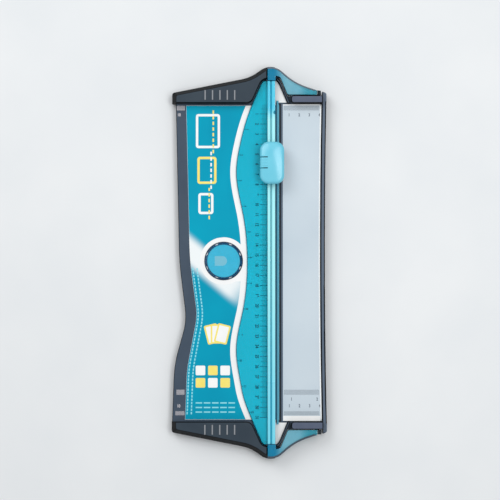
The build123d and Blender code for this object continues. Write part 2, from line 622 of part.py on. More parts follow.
def push_cap():
    """The light cap: a crowned capsule, hollow, with a slit thumb tongue and spring sleeves."""
    width, length = CAP_SIZE
    plan = RectangleRounded(width, length, CAP_CORNER)
    block = round_top(slab(plan, CAP_BOTTOM, CAP_TOP) & barrel(), CAP_EDGE)
    inside = RectangleRounded(width - 2 * CAP_WALL, length - 2 * CAP_WALL, CAP_CORNER - CAP_WALL)
    cap = block - slab(inside, CAP_BOTTOM, CAP_CEILING)
    cap = Pos(CAP_MID_X, 0, 0) * cap
    wall_left = CAP_MID_X - width / 2 + JOIN
    wall_right = CAP_MID_X + width / 2 - JOIN
    gap_left, gap_right, gap_top = RAIL_GAP
    cap -= box_between((gap_left, -length, CAP_BOTTOM), (gap_right, length, gap_top))
    sleeve_inner, sleeve_outer, sleeve_low = SLEEVE
    for side in (1, -1):
        y = side * SPRING_OFFSET
        cap += post(SPRING_X, y, sleeve_low, CAP_CEILING + JOIN, sleeve_outer)
        cap -= post(SPRING_X, y, sleeve_low, CAP_CEILING, sleeve_inner)
        ends = sorted(side * y for y in CATCH_Y)
        cap += box_between((wall_left, ends[0], CAP_BOTTOM), (LUG_X[0], ends[1], LUG_TOP))
        cap += box_between((LUG_X[1], ends[0], CAP_BOTTOM), (wall_right, ends[1], LUG_TOP))
        slit_low = side * SLIT_OFFSET - SLIT_WIDTH / 2
        cap -= box_between((0, slit_low, 0), (SLIT_END, slit_low + SLIT_WIDTH, CAP_TOP))
    rib_left, rib_right, rib_radius = THUMB_RIB
    rib_x = (rib_left + rib_right) / 2
    camber = arc_radius(width, CAP_CAMBER)
    tilt = asin((CAP_MID_X - rib_x) / camber)
    rib_z = CAP_TOP - camber * (1 - cos(tilt)) - rib_radius / 2
    for y in THUMB_RIBS:
        rib = Rot(0, 90 - degrees(tilt), 0) * Cylinder(rib_radius, rib_right - rib_left)
        cap += Pos(rib_x, y, rib_z) * rib
    return Pos(0, SLIDER_Y, 0) * cap


def blade_plate():
    """The blade lying flat: straight back, round shoulders to a point along +X."""
    depth = BLADE_TOP - BLADE_TIP
    shoulder = BLADE_TOP - BLADE_SHOULDER
    bulge = (shoulder + (depth - shoulder) * BLADE_BULGE[0], BLADE_HALF * BLADE_BULGE[1])
    upper = ThreePointArc((shoulder, BLADE_HALF), bulge, (depth, 0))
    lower = ThreePointArc((depth, 0), (bulge[0], -bulge[1]), (shoulder, -BLADE_HALF))
    back = Polyline((shoulder, -BLADE_HALF), (0, -BLADE_HALF), (0, BLADE_HALF), (shoulder, BLADE_HALF))
    face = make_face([*upper.edges(), *lower.edges(), *back.edges()])
    return extrude(face, amount=BLADE_THICK, dir=(0, 0, 1))


def cutting_blade():
    """The working blade, upright, point down."""
    return Pos(BLADE_X, SLIDER_Y, BLADE_TOP) * Rot(0, 90, 0) * blade_plate()


def blade_carrier():
    """Plastic back of the working cartridge, hung from the cap's ceiling."""
    return Pos(0, SLIDER_Y, 0) * box_between((CARRIER_LEFT, -CARRIER_HALF, CARRIER_BOTTOM),
                                             (BLADE_X, CARRIER_HALF, CAP_CEILING))


def spare_blade_carrier():
    """Plastic back of the spare cartridge, lying in the cup."""
    top = CUP_FLOOR + BLADE_X - CARRIER_LEFT
    return Pos(0, CASE_Y, 0) * box_between((SPARE_BACK, -CARRIER_HALF, CUP_FLOOR),
                                           (SPARE_BACK + CARRIER_HEIGHT, CARRIER_HALF, top))


def spare_blade():
    """The spare blade on its carrier."""
    return Pos(SPARE_X, CASE_Y, CUP_FLOOR + BLADE_X - CARRIER_LEFT) * blade_plate()


def ring_sector(inner, outer, z_low, z_high, middle, angle):
    """A piece of a ring: radii, heights, the middle of its arc and the angle that it spans."""
    ring = post(0, 0, z_low, z_high, outer) - post(0, 0, z_low, z_high, inner)
    reach = 3 * outer
    half = Rot(0, 0, middle - angle / 2) * box_between((0, 0, z_low), (reach, reach, z_high))
    other = Rot(0, 0, middle + angle / 2 - 90) * box_between((0, 0, z_low), (reach, reach, z_high))
    return ring & half & other


def spare_case_cup():
    """Cup let into the platform, with a bayonet track and three entries."""
    cup = post(0, 0, WELL_FLOOR, PLATFORM_Z, CUP_RADIUS) - post(0, 0, CUP_FLOOR, PLATFORM_Z, CUP_INNER)
    cup -= post(0, 0, TRACK_LOW, TRACK_HIGH, TRACK_RADIUS)
    for index in range(LUG_COUNT):
        middle = index * 360 / LUG_COUNT + TWIST
        cup -= ring_sector(CUP_INNER - JOIN, TRACK_RADIUS, TRACK_LOW, PLATFORM_Z, middle, ENTRY_ANGLE)
    return Pos(CASE_X, CASE_Y, 0) * cup


def spare_case_lid():
    """Round lid with a bevelled, notched rim, a plug and three bayonet lugs."""
    rim = post(0, 0, LID_LOW, LID_HIGH, LID_RADIUS)
    rim = chamfer(rim.edges().filter_by(GeomType.CIRCLE).sort_by(Axis.Z)[-1], LID_BEVEL)
    for index in range(GRIP_COUNT):
        notch = post(GRIP_RING, 0, LID_LOW, LID_HIGH, GRIP_RADIUS)
        rim -= Rot(0, 0, (index + 0.5) * 360 / GRIP_COUNT) * notch
    lid = rim + post(0, 0, PLUG_LOW, LID_LOW, PLUG_OUTER) - post(0, 0, PLUG_LOW, LID_LOW, PLUG_INNER)
    for index in range(LUG_COUNT):
        middle = index * 360 / LUG_COUNT
        lid += ring_sector(PLUG_INNER, LUG_RADIUS, LUG_LOW, LUG_HIGH, middle, LUG_ANGLE)
    return Pos(CASE_X, CASE_Y, 0) * lid


far_cover = far_end_cover()
far_block = far_hinge_block()
far_pin = far_hinge_pin()
far_arm = far_end_arm()

pieces = {
    "base_shell": base_shell(),
    "far_end_cover": far_cover,
    "near_end_cover": near_copy(far_cover),
    "far_hinge_block": far_block,
    "near_hinge_block": near_copy(far_block),
    "far_hinge_pin": far_pin,
    "near_hinge_pin": near_copy(far_pin),
    "offcut_panel": offcut_panel(),
    "cutting_mat": cutting_mat(),
    "platform_card": platform_card(),
    "rubber_feet": rubber_feet(),
    "cover_screws": screws(both_ends(COVER_SCREWS), PLATFORM_Z - WALL),
    "hinge_block_screws": screws(both_ends(BLOCK_SCREWS), PLATFORM_Z - WALL),
    "spare_case_cup": spare_case_cup(),
    "spare_case_lid": spare_case_lid(),
    "spare_blade_carrier": spare_blade_carrier(),
    "spare_blade": spare_blade(),
    "guide_rail": guide_rail(),
    "clear_ruler": clear_ruler(),
    "far_end_arm": far_arm,
    "near_end_arm": near_copy(far_arm),
    "arm_screws": arm_screws(),
    "slider_runner": slider_runner(),
    "far_glide_shoe": glide_shoe(1),
    "near_glide_shoe": glide_shoe(-1),
    "far_return_spring": return_spring(1),
    "near_return_spring": return_spring(-1),
    "push_cap": push_cap(),
    "blade_carrier": blade_carrier(),
    "cutting_blade": cutting_blade(),
}

os.makedirs("parts", exist_ok=True)
for name, piece in pieces.items():
    export_step(piece, os.path.join("parts", name + ".step"))
    print(name, len(piece.solids()), "solid(s), volume", round(piece.volume, 1))
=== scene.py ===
# %% [markdown]
# A desk paper trimmer, dressed for its picture. The solids come in as a fixed
# frame: a dark tray, a hinged see-through arm with the ruler and the rail, a
# sliding cap with its blade, and a small round case for a spare blade. They
# already have their true shapes, so most of this lesson gives them their stuff.
# It adds the thin things that the solids leave out, printed ink and a bead, and
# draws the two springs again.

# %% Load the frame
import bpy
import numpy as np
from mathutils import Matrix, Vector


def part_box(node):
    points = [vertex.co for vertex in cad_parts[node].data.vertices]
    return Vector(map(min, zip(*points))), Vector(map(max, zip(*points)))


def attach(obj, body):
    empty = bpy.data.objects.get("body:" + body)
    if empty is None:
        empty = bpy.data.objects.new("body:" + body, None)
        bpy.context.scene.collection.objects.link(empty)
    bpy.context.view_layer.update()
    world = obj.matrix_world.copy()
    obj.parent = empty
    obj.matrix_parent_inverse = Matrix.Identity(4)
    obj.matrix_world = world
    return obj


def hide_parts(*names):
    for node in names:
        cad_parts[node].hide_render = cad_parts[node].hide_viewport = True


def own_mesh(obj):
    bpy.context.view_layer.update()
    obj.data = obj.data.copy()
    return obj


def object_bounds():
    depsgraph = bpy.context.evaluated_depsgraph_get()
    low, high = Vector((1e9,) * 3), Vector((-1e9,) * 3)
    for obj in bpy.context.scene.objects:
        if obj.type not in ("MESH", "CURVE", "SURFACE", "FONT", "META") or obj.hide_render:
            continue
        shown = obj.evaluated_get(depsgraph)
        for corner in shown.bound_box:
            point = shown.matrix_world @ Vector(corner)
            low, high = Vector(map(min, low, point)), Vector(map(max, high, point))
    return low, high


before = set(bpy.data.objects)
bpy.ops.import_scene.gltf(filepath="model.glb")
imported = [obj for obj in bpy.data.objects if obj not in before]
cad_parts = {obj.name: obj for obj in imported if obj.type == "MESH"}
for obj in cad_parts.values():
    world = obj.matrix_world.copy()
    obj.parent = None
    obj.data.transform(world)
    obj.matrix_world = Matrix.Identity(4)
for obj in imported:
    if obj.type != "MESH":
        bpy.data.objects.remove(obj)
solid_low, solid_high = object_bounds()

MM = 0.001

# %% [markdown]
# The picture looks almost straight down on the trimmer, leaning a hair to the
# near end, from far enough away that the fences spread outwards only a little. A
# camera with no turn looks down -Z with +Y up in the picture, so it needs only
# the small lean, its place and its lens: the lens is the sensor's width times
# the distance, over the width that is seen.

# %% Camera
VIEW_WIDTH = 495 * MM           # width of the picture at the height of the platform
VIEW_MIDDLE = (0.7 * MM, 12.0 * MM)
CAMERA_DISTANCE = 1800 * MM
CAMERA_LEAN = np.radians(2.0)
SENSOR = 36.0
PLATFORM_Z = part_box("platform_card")[0].z

camera_data = bpy.data.cameras.new("camera")
camera_data.sensor_width = SENSOR
camera_data.lens = SENSOR * CAMERA_DISTANCE / VIEW_WIDTH
camera = bpy.data.objects.new("camera", camera_data)
camera.location = (VIEW_MIDDLE[0], VIEW_MIDDLE[1] - CAMERA_DISTANCE * np.sin(CAMERA_LEAN),
                   PLATFORM_Z + CAMERA_DISTANCE * np.cos(CAMERA_LEAN))
camera.rotation_euler = (CAMERA_LEAN, 0, 0)
bpy.context.scene.collection.objects.link(camera)
bpy.context.scene.camera = camera
bpy.context.scene.view_settings.view_transform = "Standard"
print("lens", round(camera_data.lens, 1), "mm")

# %% [markdown]
# Colours are written as the hex values that a paint program shows. Blender
# counts light in a straight line, so one function takes the screen's curve out
# of them. One more small function adds a node, with its settings and its links:
# an input that is given a socket is linked to it, any other gets the number.

# %% Colours and nodes
def linear(code):
    """A hex colour as linear red, green, blue and alpha: the sRGB curve undone for each part."""
    parts = np.array([int(code[i:i + 2], 16) for i in (1, 3, 5)]) / 255
    low = parts / 12.92
    high = ((parts + 0.055) / 1.055) ** 2.4
    return (*np.where(parts <= 0.04045, low, high).tolist(), 1.0)


def add_node(tree, kind, settings=None, inputs=None):
    """One node, with its settings, its numbers and the links into it."""
    node = tree.nodes.new(kind)
    for name, value in (settings or {}).items():
        setattr(node, name, value)
    for name, value in (inputs or {}).items():
        if isinstance(value, bpy.types.NodeSocket):
            tree.links.new(value, node.inputs[name])
        else:
            node.inputs[name].default_value = value
    return node


print("a white card is", np.round(linear("#f4f4f2"), 3))

# %% [markdown]
# Nearly everything here is moulded, printed or ground, and such skins have the
# same three habits: the colour drifts a little over patches, the gloss differs
# from spot to spot, and a fine grain roughens the surface. So one function
# makes a skin from those sizes in millimetres, and each material below says
# what its stuff is and how large its own grain is. The numbers that are the
# same all over go straight onto the shader.

# %% Skins
COLOUR_A, COLOUR_B, COLOUR_OUT = 6, 7, 2    # the colour sockets of a Mix node
NOISE_SPAN = (0.32, 0.68)                   # where most of a noise's values lie
PATCH_DETAIL, GRAIN_DETAIL = 3.0, 2.0       # finer waves on the patches and on the grain


def skin(name, colours, patch, grain, gloss, depth, sockets):
    """Colour drifts between two tones over patches; a grain sets the roughness (two ends) and the bump."""
    material = bpy.data.materials.new(name)
    material.use_nodes = True
    tree = material.node_tree
    shader = tree.nodes["Principled BSDF"]
    for socket, value in sockets.items():
        shader.inputs[socket].default_value = value
    place = add_node(tree, "ShaderNodeTexCoord").outputs["Object"]
    patches = add_node(tree, "ShaderNodeTexNoise", {}, {
        "Vector": place, "Scale": 1 / (patch * MM), "Detail": PATCH_DETAIL})
    spread = add_node(tree, "ShaderNodeMapRange", {}, {
        "Value": patches.outputs["Fac"], "From Min": NOISE_SPAN[0], "From Max": NOISE_SPAN[1]})
    drift = add_node(tree, "ShaderNodeMix", {"data_type": "RGBA"}, {
        "Factor": spread.outputs["Result"], COLOUR_A: linear(colours[0]), COLOUR_B: linear(colours[1])})
    grains = add_node(tree, "ShaderNodeTexNoise", {}, {
        "Vector": place, "Scale": 1 / (grain * MM), "Detail": GRAIN_DETAIL})
    rough = add_node(tree, "ShaderNodeMapRange", {}, {
        "Value": grains.outputs["Fac"], "From Min": NOISE_SPAN[0], "From Max": NOISE_SPAN[1],
        "To Min": gloss[0], "To Max": gloss[1]})
    bump = add_node(tree, "ShaderNodeBump", {}, {"Height": grains.outputs["Fac"], "Distance": depth * MM})
    tree.links.new(drift.outputs[COLOUR_OUT], shader.inputs["Base Color"])
    tree.links.new(rough.outputs["Result"], shader.inputs["Roughness"])
    tree.links.new(bump.outputs["Normal"], shader.inputs["Normal"])
    return material


def dress(material, *nodes):
    """Gives one material to solids of the frame."""
    for node in nodes:
        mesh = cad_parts[node].data
        mesh.materials.clear()
        mesh.materials.append(material)
    print(material.name, "on", ", ".join(nodes))


# %% [markdown]
# Some skins change over the piece: painted highlights on ribs and ridges, painted shade on steep sides, a
# deep rim.
# A mask says where. It rises from 0 to 1 along one axis, along the size of one
# part of the normal, or with the distance from a point in the plan, and it can
# be held within another mask. An overlay then moves the colour, the roughness
# and, where they change too, the share of passing light and the strength of
# the mirror, as far as the mask says.

# %% Masks and overlays
def mask_along(material, axis, start, end, source="Object", within=1.0):
    """Rises smoothly as one part of the place, or the size of the normal's, goes from start to end."""
    tree = material.node_tree
    place = tree.nodes["Texture Coordinate"].outputs[source]
    part = add_node(tree, "ShaderNodeSeparateXYZ", {}, {"Vector": place}).outputs[axis]
    if source == "Normal":
        part = add_node(tree, "ShaderNodeMath", {"operation": "ABSOLUTE"}, {0: part}).outputs["Value"]
    return add_node(tree, "ShaderNodeMapRange", {"interpolation_type": "SMOOTHSTEP"}, {
        "Value": part, "From Min": start, "From Max": end, "To Max": within}).outputs["Result"]


def mask_round(material, centre, start, end, trail=False):
    """Rises smoothly as the distance from a point in the plan goes from start to end. With a trail, only
    the distance in Y counts left of the point."""
    tree = material.node_tree
    place = tree.nodes["Texture Coordinate"].outputs["Object"]
    plan = add_node(tree, "ShaderNodeVectorMath", {"operation": "MULTIPLY"}, {0: place, 1: (1, 1, 0)})
    if trail:
        plan = add_node(tree, "ShaderNodeVectorMath", {"operation": "MAXIMUM"}, {
            0: plan.outputs["Vector"], 1: (centre[0], solid_low[1], 0)})
    reach = add_node(tree, "ShaderNodeVectorMath", {"operation": "DISTANCE"}, {
        0: plan.outputs["Vector"], 1: (*centre, 0)})
    return add_node(tree, "ShaderNodeMapRange", {"interpolation_type": "SMOOTHSTEP"}, {
        "Value": reach.outputs["Value"], "From Min": start, "From Max": end}).outputs["Result"]


def overlay(material, mask, colour, gloss, passing=None, shine=None):
    """Another colour, roughness, share of passing light and mirror over a skin, as far as the mask says."""
    tree = material.node_tree
    shader = tree.nodes["Principled BSDF"]
    tone = add_node(tree, "ShaderNodeMix", {"data_type": "RGBA"}, {
        "Factor": mask, COLOUR_A: shader.inputs["Base Color"].links[0].from_socket,
        COLOUR_B: linear(colour)})
    tree.links.new(tone.outputs[COLOUR_OUT], shader.inputs["Base Color"])
    changes = {"Roughness": gloss, "Transmission Weight": passing, "Specular IOR Level": shine}
    for name, value in changes.items():
        if value is not None:
            target = shader.inputs[name]
            below = target.links[0].from_socket if target.is_linked else target.default_value
            share = add_node(tree, "ShaderNodeMapRange", {}, {
                "Value": mask, "To Min": below, "To Max": value})
            tree.links.new(share.outputs["Result"], target)


print("masks and overlays are ready")

# %% [markdown]
# The trimmer lies on a pale studio floor. A wide sky of even light fills the
# shadows, a large soft lamp at the upper left gives them their direction, and a
# long one on the right puts the pale streak on the cap. Together they add up to
# about one on a face that looks up, so a colour renders as it is written. The
# strength of a lamp follows from that share: pi squared times the distance
# squared times the share, over the cosine at which the light falls.

# %% Floor and light
FLOOR_HALF = 4.0
SKY_SHARE = 0.54
LAMPS = {
    "upper_left": {"place": (-0.75, 0.85, 1.25), "size": (0.9, 0.9), "share": 0.22},
    "right": {"place": (0.44, 0.15, 1.20), "size": (0.38, 1.0), "share": 0.33},
}


def soft_lamp(name, place, size, share):
    """A rectangle of light, its second side level, that looks at the middle and adds its share there."""
    lamp_data = bpy.data.lights.new(name, "AREA")
    lamp_data.shape = "RECTANGLE"
    lamp_data.size, lamp_data.size_y = size
    distance = np.linalg.norm(place)
    lamp_data.energy = np.pi ** 2 * distance ** 2 * share / (place[2] / distance)
    lamp = bpy.data.objects.new(name, lamp_data)
    lamp.location = place
    lamp.rotation_euler = lamp.location.to_track_quat("Z", "X").to_euler()
    bpy.context.scene.collection.objects.link(lamp)
    return lamp_data.energy


floor_skin = skin("matt_paper_roll", ("#e3e7ea", "#e9ecee"), patch=120, grain=4, gloss=(0.85, 0.95),
                  depth=0.02, sockets={"IOR": 1.45})
floor_mesh = bpy.data.meshes.new("floor")
floor_corners = [(-FLOOR_HALF, -FLOOR_HALF, 0), (FLOOR_HALF, -FLOOR_HALF, 0),
                 (FLOOR_HALF, FLOOR_HALF, 0), (-FLOOR_HALF, FLOOR_HALF, 0)]
floor_mesh.from_pydata(floor_corners, [], [(0, 1, 2, 3)])
floor_mesh.materials.append(floor_skin)
floor = bpy.data.objects.new("floor", floor_mesh)
bpy.context.scene.collection.objects.link(floor)

world = bpy.data.worlds.new("sky")
world.use_nodes = True
world.node_tree.nodes["Background"].inputs["Strength"].default_value = SKY_SHARE
world.node_tree.nodes["Background"].inputs["Color"].default_value = (1, 1, 1, 1)
bpy.context.scene.world = world
for lamp_name, lamp_facts in LAMPS.items():
    print(lamp_name, round(soft_lamp(lamp_name, **lamp_facts), 1), "W")

# %% [markdown]
# The tray, its end bars and the hinge blocks are injection-moulded ABS in a
# dark slate grey. The mould's spark-eroded face leaves a fine satin grain on
# what looks up. The steep sides, and the moulding below the platform, are painted
# nearly black as shade; a mask on the normal tells the two apart. The real
# grain is about 0.2 mm; it is drawn at 0.9 mm so that it shows. The lip on the
# right and the grip ribs stand proud, and their tops are painted pale as a
# highlight. The hinge blocks are a mauve grey, painted lighter than the bars as a highlight.

# %% Moulded ABS
GRAINED = {"IOR": 1.54, "Specular IOR Level": 0.2}     # an eroded grain sheds most of its shine
# near black painted as shade on the steep sides and below the platform
SIDE_SHADE = {"colour": "#0a0d11", "gloss": 0.50, "shine": 0.05}
SIDE_SLOPE = (0.985, 0.93)      # the normal's upward part on the grained top and on a steep side
RECESS_SHADE = (0.3 * MM, 0.6 * MM)   # below the platform, where the moulding is left dark
LIP_X, LIP_RISE = (66.0 * MM, 68.0 * MM), (1.2 * MM, 1.6 * MM)  # where the lip stands above the platform
BAR_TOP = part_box("far_hinge_block")[1].z
RIB_HIGHLIGHT_RISE = (0.12 * MM, 0.40 * MM)  # above the bars' top

tray_abs = skin("moulded_abs_slate", ("#3c4a5a", "#445262"), patch=35, grain=0.9, gloss=(0.42, 0.56),
                depth=0.02, sockets=GRAINED)
bar_abs = skin("moulded_abs_dark", ("#2c3945", "#34414c"), patch=30, grain=0.9, gloss=(0.40, 0.52),
               depth=0.02, sockets=GRAINED)
# the hinge blocks are mauve grey, made lighter than the bars as a painted highlight
block_abs_highlit = skin("moulded_abs_mauve_painted_highlight", ("#4e586d", "#586277"), patch=18, grain=0.9, gloss=(0.34, 0.46),
                 depth=0.02, sockets=GRAINED)
# painted highlight: the lip's top is made paler
lip_highlight_mask = mask_along(tray_abs, "Z", PLATFORM_Z + LIP_RISE[0], PLATFORM_Z + LIP_RISE[1],
                      within=mask_along(tray_abs, "X", *LIP_X))
overlay(tray_abs, lip_highlight_mask, "#576678", gloss=0.45)
# painted shade: the moulding below the platform is darkened to near black
overlay(tray_abs, mask_along(tray_abs, "Z", PLATFORM_Z - RECESS_SHADE[0], PLATFORM_Z - RECESS_SHADE[1]), **SIDE_SHADE)
for abs_skin in (tray_abs, bar_abs, block_abs_highlit):
    # painted shade: the steep sides of the tray, the bars and the blocks are darkened to near black
    overlay(abs_skin, mask_along(abs_skin, "Z", *SIDE_SLOPE, source="Normal"), **SIDE_SHADE)
# painted highlight: the crowns of the grip ribs are made pale
overlay(bar_abs, mask_along(bar_abs, "Z", BAR_TOP + RIB_HIGHLIGHT_RISE[0], BAR_TOP + RIB_HIGHLIGHT_RISE[1]), "#8e9298", gloss=0.35)
dress(tray_abs, "base_shell")
dress(bar_abs, "far_end_cover", "near_end_cover")
dress(block_abs_highlit, "far_hinge_block", "near_hinge_block")

# %% [markdown]
# Small hardware: rubber feet with a dull bloom, zinc-plated screws, blackened
# hinge pins, and blades of ground steel. Metals keep the default index and get
# their look from metallic and from a grain: the grinder's scratches are stood
# in for by a fine drift of gloss.

# %% Rubber and steel
foot_rubber = skin("moulded_rubber", ("#1c1c1e", "#232325"), patch=6, grain=0.7, gloss=(0.75, 0.9),
                   depth=0.03, sockets={"IOR": 1.52})
zinc_steel = skin("zinc_plated_steel", ("#b9bcc0", "#c9ccce"), patch=3, grain=0.4, gloss=(0.25, 0.4),
                  depth=0.01, sockets={"Metallic": 1.0})
black_steel = skin("blackened_steel", ("#26282c", "#33363b"), patch=3, grain=0.4, gloss=(0.3, 0.45),
                   depth=0.01, sockets={"Metallic": 1.0})
blade_steel = skin("ground_steel", ("#c6c4c6", "#dad8d9"), patch=4, grain=0.3, gloss=(0.18, 0.34),
                   depth=0.01, sockets={"Metallic": 1.0})
dress(foot_rubber, "rubber_feet")
dress(zinc_steel, "cover_screws", "hinge_block_screws", "arm_screws")
dress(black_steel, "far_hinge_pin", "near_hinge_pin")
dress(blade_steel, "cutting_blade", "spare_blade")

# %% [markdown]
# The pieces around the cut: a scale panel of pale polystyrene with a satin
# face, and a strip of soft dark PVC that the blade's point runs in, paler on its
# right side. Under the cap, the runner is dull acetal, with whiter glide shoes,
# and the blade sits in a plastic carrier. The cup of the spare case is pale, so
# its lid looks bright.

# %% Panel, mat and runner
MAT_PALE_X = (31.3 * MM, 31.9 * MM)        # X from which the mat is paler

panel_styrene = skin("satin_polystyrene", ("#bccbd6", "#c8d5de"), patch=90, grain=1.2, gloss=(0.35, 0.45),
                     depth=0.01, sockets={"IOR": 1.59})
mat_pvc = skin("soft_pvc", ("#12212c", "#1a2c3a"), patch=12, grain=0.8, gloss=(0.5, 0.65), depth=0.02,
               sockets={"IOR": 1.53})
runner_acetal = skin("moulded_acetal", ("#7d858c", "#8a9299"), patch=8, grain=0.7, gloss=(0.35, 0.5),
                     depth=0.01, sockets={"IOR": 1.48})
shoe_acetal = skin("natural_acetal", ("#d9dcda", "#e4e6e3"), patch=6, grain=0.7, gloss=(0.3, 0.45),
                   depth=0.01, sockets={"IOR": 1.48})
carrier_abs = skin("moulded_abs_pink", ("#f0dcdf", "#f6e6e8"), patch=5, grain=0.6, gloss=(0.4, 0.5),
                   depth=0.01, sockets={"IOR": 1.54})
cup_styrene = skin("pale_polystyrene", ("#e6f1f5", "#f0f7fa"), patch=10, grain=0.8, gloss=(0.35, 0.45),
                   depth=0.01, sockets={"IOR": 1.59})
# the mat is paler from this X on
overlay(mat_pvc, mask_along(mat_pvc, "X", *MAT_PALE_X), "#465a70", gloss=0.45)
dress(panel_styrene, "offcut_panel")
dress(mat_pvc, "cutting_mat")
dress(runner_acetal, "slider_runner")
dress(shoe_acetal, "far_glide_shoe", "near_glide_shoe")
dress(carrier_abs, "blade_carrier", "spare_blade_carrier")
dress(cup_styrene, "spare_case_cup")

# %% [markdown]
# The cap is a light blue satin ABS. It is the piece that fingers hold, so its
# grain is soft and its gloss a little higher than the tray's: the long lamp on
# the right leaves a pale streak along its shoulder.

# %% Push cap
cap_abs = skin("satin_abs_light_blue", ("#66c5de", "#74d0e6"), patch=22, grain=1.0, gloss=(0.18, 0.24),
               depth=0.006, sockets={"IOR": 1.54})
dress(cap_abs, "push_cap")

# %% [markdown]
# The arm is moulded in tinted blue polycarbonate. About half of the light goes
# straight through the ruler and is tinted on the way in and out, and the rest
# scatters in the plastic, so the plate looks brightest over the white card. Its
# bevel bends the light away, and the thin dark line that this draws along its
# wave is painted shade: a steeper normal gets a deeper tint. A polished plate
# under wide soft light would shine grey, so its mirror is held back.

# %% Tinted ruler
BEVEL_SHADE_SLOPE = (0.99, 0.90)      # the normal's upward part on the ruler's face and on its bevelled edge
POLISHED = {"IOR": 1.58, "Specular IOR Level": 0.15}

ruler_clear = skin("tinted_polycarbonate_ruler", ("#04dcf6", "#0ae2fc"), patch=60, grain=3,
                   gloss=(0.04, 0.08), depth=0.001, sockets={**POLISHED, "Transmission Weight": 0.50})
# painted shade: the dark line along the ruler's bevel
overlay(ruler_clear, mask_along(ruler_clear, "Z", *BEVEL_SHADE_SLOPE, source="Normal"), "#1c8fa4", gloss=0.06)
dress(ruler_clear, "clear_ruler")

# %% [markdown]
# The lid of the spare case is bluer and milky: most of its light scatters in
# the plastic. Its thick notched rim is clearer and much deeper in colour. The
# spare blade lies close under the disc and comes through as a soft pale D, so
# a round mask with one flat side stands for it, placed by the blade itself.

# %% Milky lid
RIM = (15.7 * MM, 16.6 * MM)    # radii between which the rim's colour comes in
GHOST_SOFT = 0.9 * MM           # the pale D blurs over this width

lid_low, lid_high = (np.array(corner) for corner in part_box("spare_case_lid"))
CASE_CENTRE = (lid_low[:2] + lid_high[:2]) / 2
blade_low, blade_high = (np.array(corner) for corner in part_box("spare_blade"))
ghost_radius = (blade_high[1] - blade_low[1]) / 2
ghost_centre = (blade_high[0] - ghost_radius, (blade_high[1] + blade_low[1]) / 2)

lid_clear = skin("milky_polycarbonate_lid", ("#44d6fa", "#50dcff"), patch=14, grain=2, gloss=(0.04, 0.08),
                 depth=0.001, sockets={**POLISHED, "Transmission Weight": 0.40})
ghost_round = mask_round(lid_clear, ghost_centre, ghost_radius, ghost_radius - GHOST_SOFT, trail=True)
ghost_mask = mask_along(lid_clear, "X", blade_low[0], blade_low[0] + GHOST_SOFT, within=ghost_round)
overlay(lid_clear, ghost_mask, "#84cee4", gloss=0.12, passing=0.2)
overlay(lid_clear, mask_round(lid_clear, CASE_CENTRE, *RIM), "#2a7cae", gloss=0.10, passing=0.8)
dress(lid_clear, "spare_case_lid")

# %% [markdown]
# The rail is the same plastic with less polish. Its two ridges are rougher near
# their crowns, where the slider rubs them and less light goes straight through,
# and are painted pale there as a highlight beside the groove and the dark flange.
# The highlight is a mask on the height of the point: none below the ridges, all
# of it near their crowns. Over the far arch and along the near half the plastic
# is a deeper cyan and the highlight thins out, so that cyan comes in twice by
# masks along the length: under the highlight, and more weakly over it. The flange
# is thin; its inner half is painted dark as the shade of the rail's head, and its
# outer half pale as a highlight.

# %% Rail with painted ridge highlights
RIDGE_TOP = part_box("guide_rail")[1].z
RIDGE_HIGHLIGHT = (RIDGE_TOP - 1.1 * MM, RIDGE_TOP - 0.5 * MM)
DEEP_CYAN = "#06c8ee"
CYAN_SPANS = [(139 * MM, 154 * MM), (30 * MM, -190 * MM)]   # Y along which the cyan comes in
CYAN_OVER = (0.80, 0.56)                                    # the share of it that covers the ridge highlight
FLANGE_SHADE = (25.6 * MM, 25.8 * MM)                        # X from which each half of the flange starts
FLANGE_HIGHLIGHT = (27.1 * MM, 27.6 * MM)

rail_clear = skin("polycarbonate_rail_painted_highlight", ("#84e2f0", "#90eaf6"), patch=30, grain=2.5,
                  gloss=(0.04, 0.08), depth=0.002, sockets={"IOR": 1.58, "Transmission Weight": 0.45})
for span in CYAN_SPANS:
    overlay(rail_clear, mask_along(rail_clear, "Y", *span), DEEP_CYAN, gloss=0.10)
# painted highlight: the ridge crowns are made pale
overlay(rail_clear, mask_along(rail_clear, "Z", *RIDGE_HIGHLIGHT), "#a6f4fa", gloss=0.40, passing=0.05)
for span, share in zip(CYAN_SPANS, CYAN_OVER):
    overlay(rail_clear, mask_along(rail_clear, "Y", *span, within=share), DEEP_CYAN, gloss=0.10)
# painted shade: the flange's inner half, in the shadow of the rail's head
overlay(rail_clear, mask_along(rail_clear, "X", *FLANGE_SHADE), "#0a6c8c", gloss=0.10, passing=0.50)
# painted highlight: the flange's outer half
overlay(rail_clear, mask_along(rail_clear, "X", *FLANGE_HIGHLIGHT), "#5cbad6", gloss=0.15, passing=0.25)
dress(rail_clear, "guide_rail")

# %% [markdown]
# The end arms sweep from the rail's end down to the hinge. At the peak the
# plastic is a thick block and looks deep blue; beside it the arm is a thin shell
# and looks like pale frosted glass, and it turns teal as the shell closes by the
# hinge. The tint follows the distance from the rail, which is where the thickness
# changes. The steep walls are painted dark as shade, so the arm has a dark
# outline, and round the pin the knuckle is solid and painted nearly black as
# shade.

# %% Swept end arms
DEEP_X = (36 * MM, 24 * MM)     # X over which each tint comes in
TEAL_X = (46 * MM, 60 * MM)
KNUCKLE_SHADE_X = (66.2 * MM, 67.4 * MM)
WALL_SHADE_SLOPE = (0.80, 0.55)       # the normal's upward part on the arm's back and on its walls

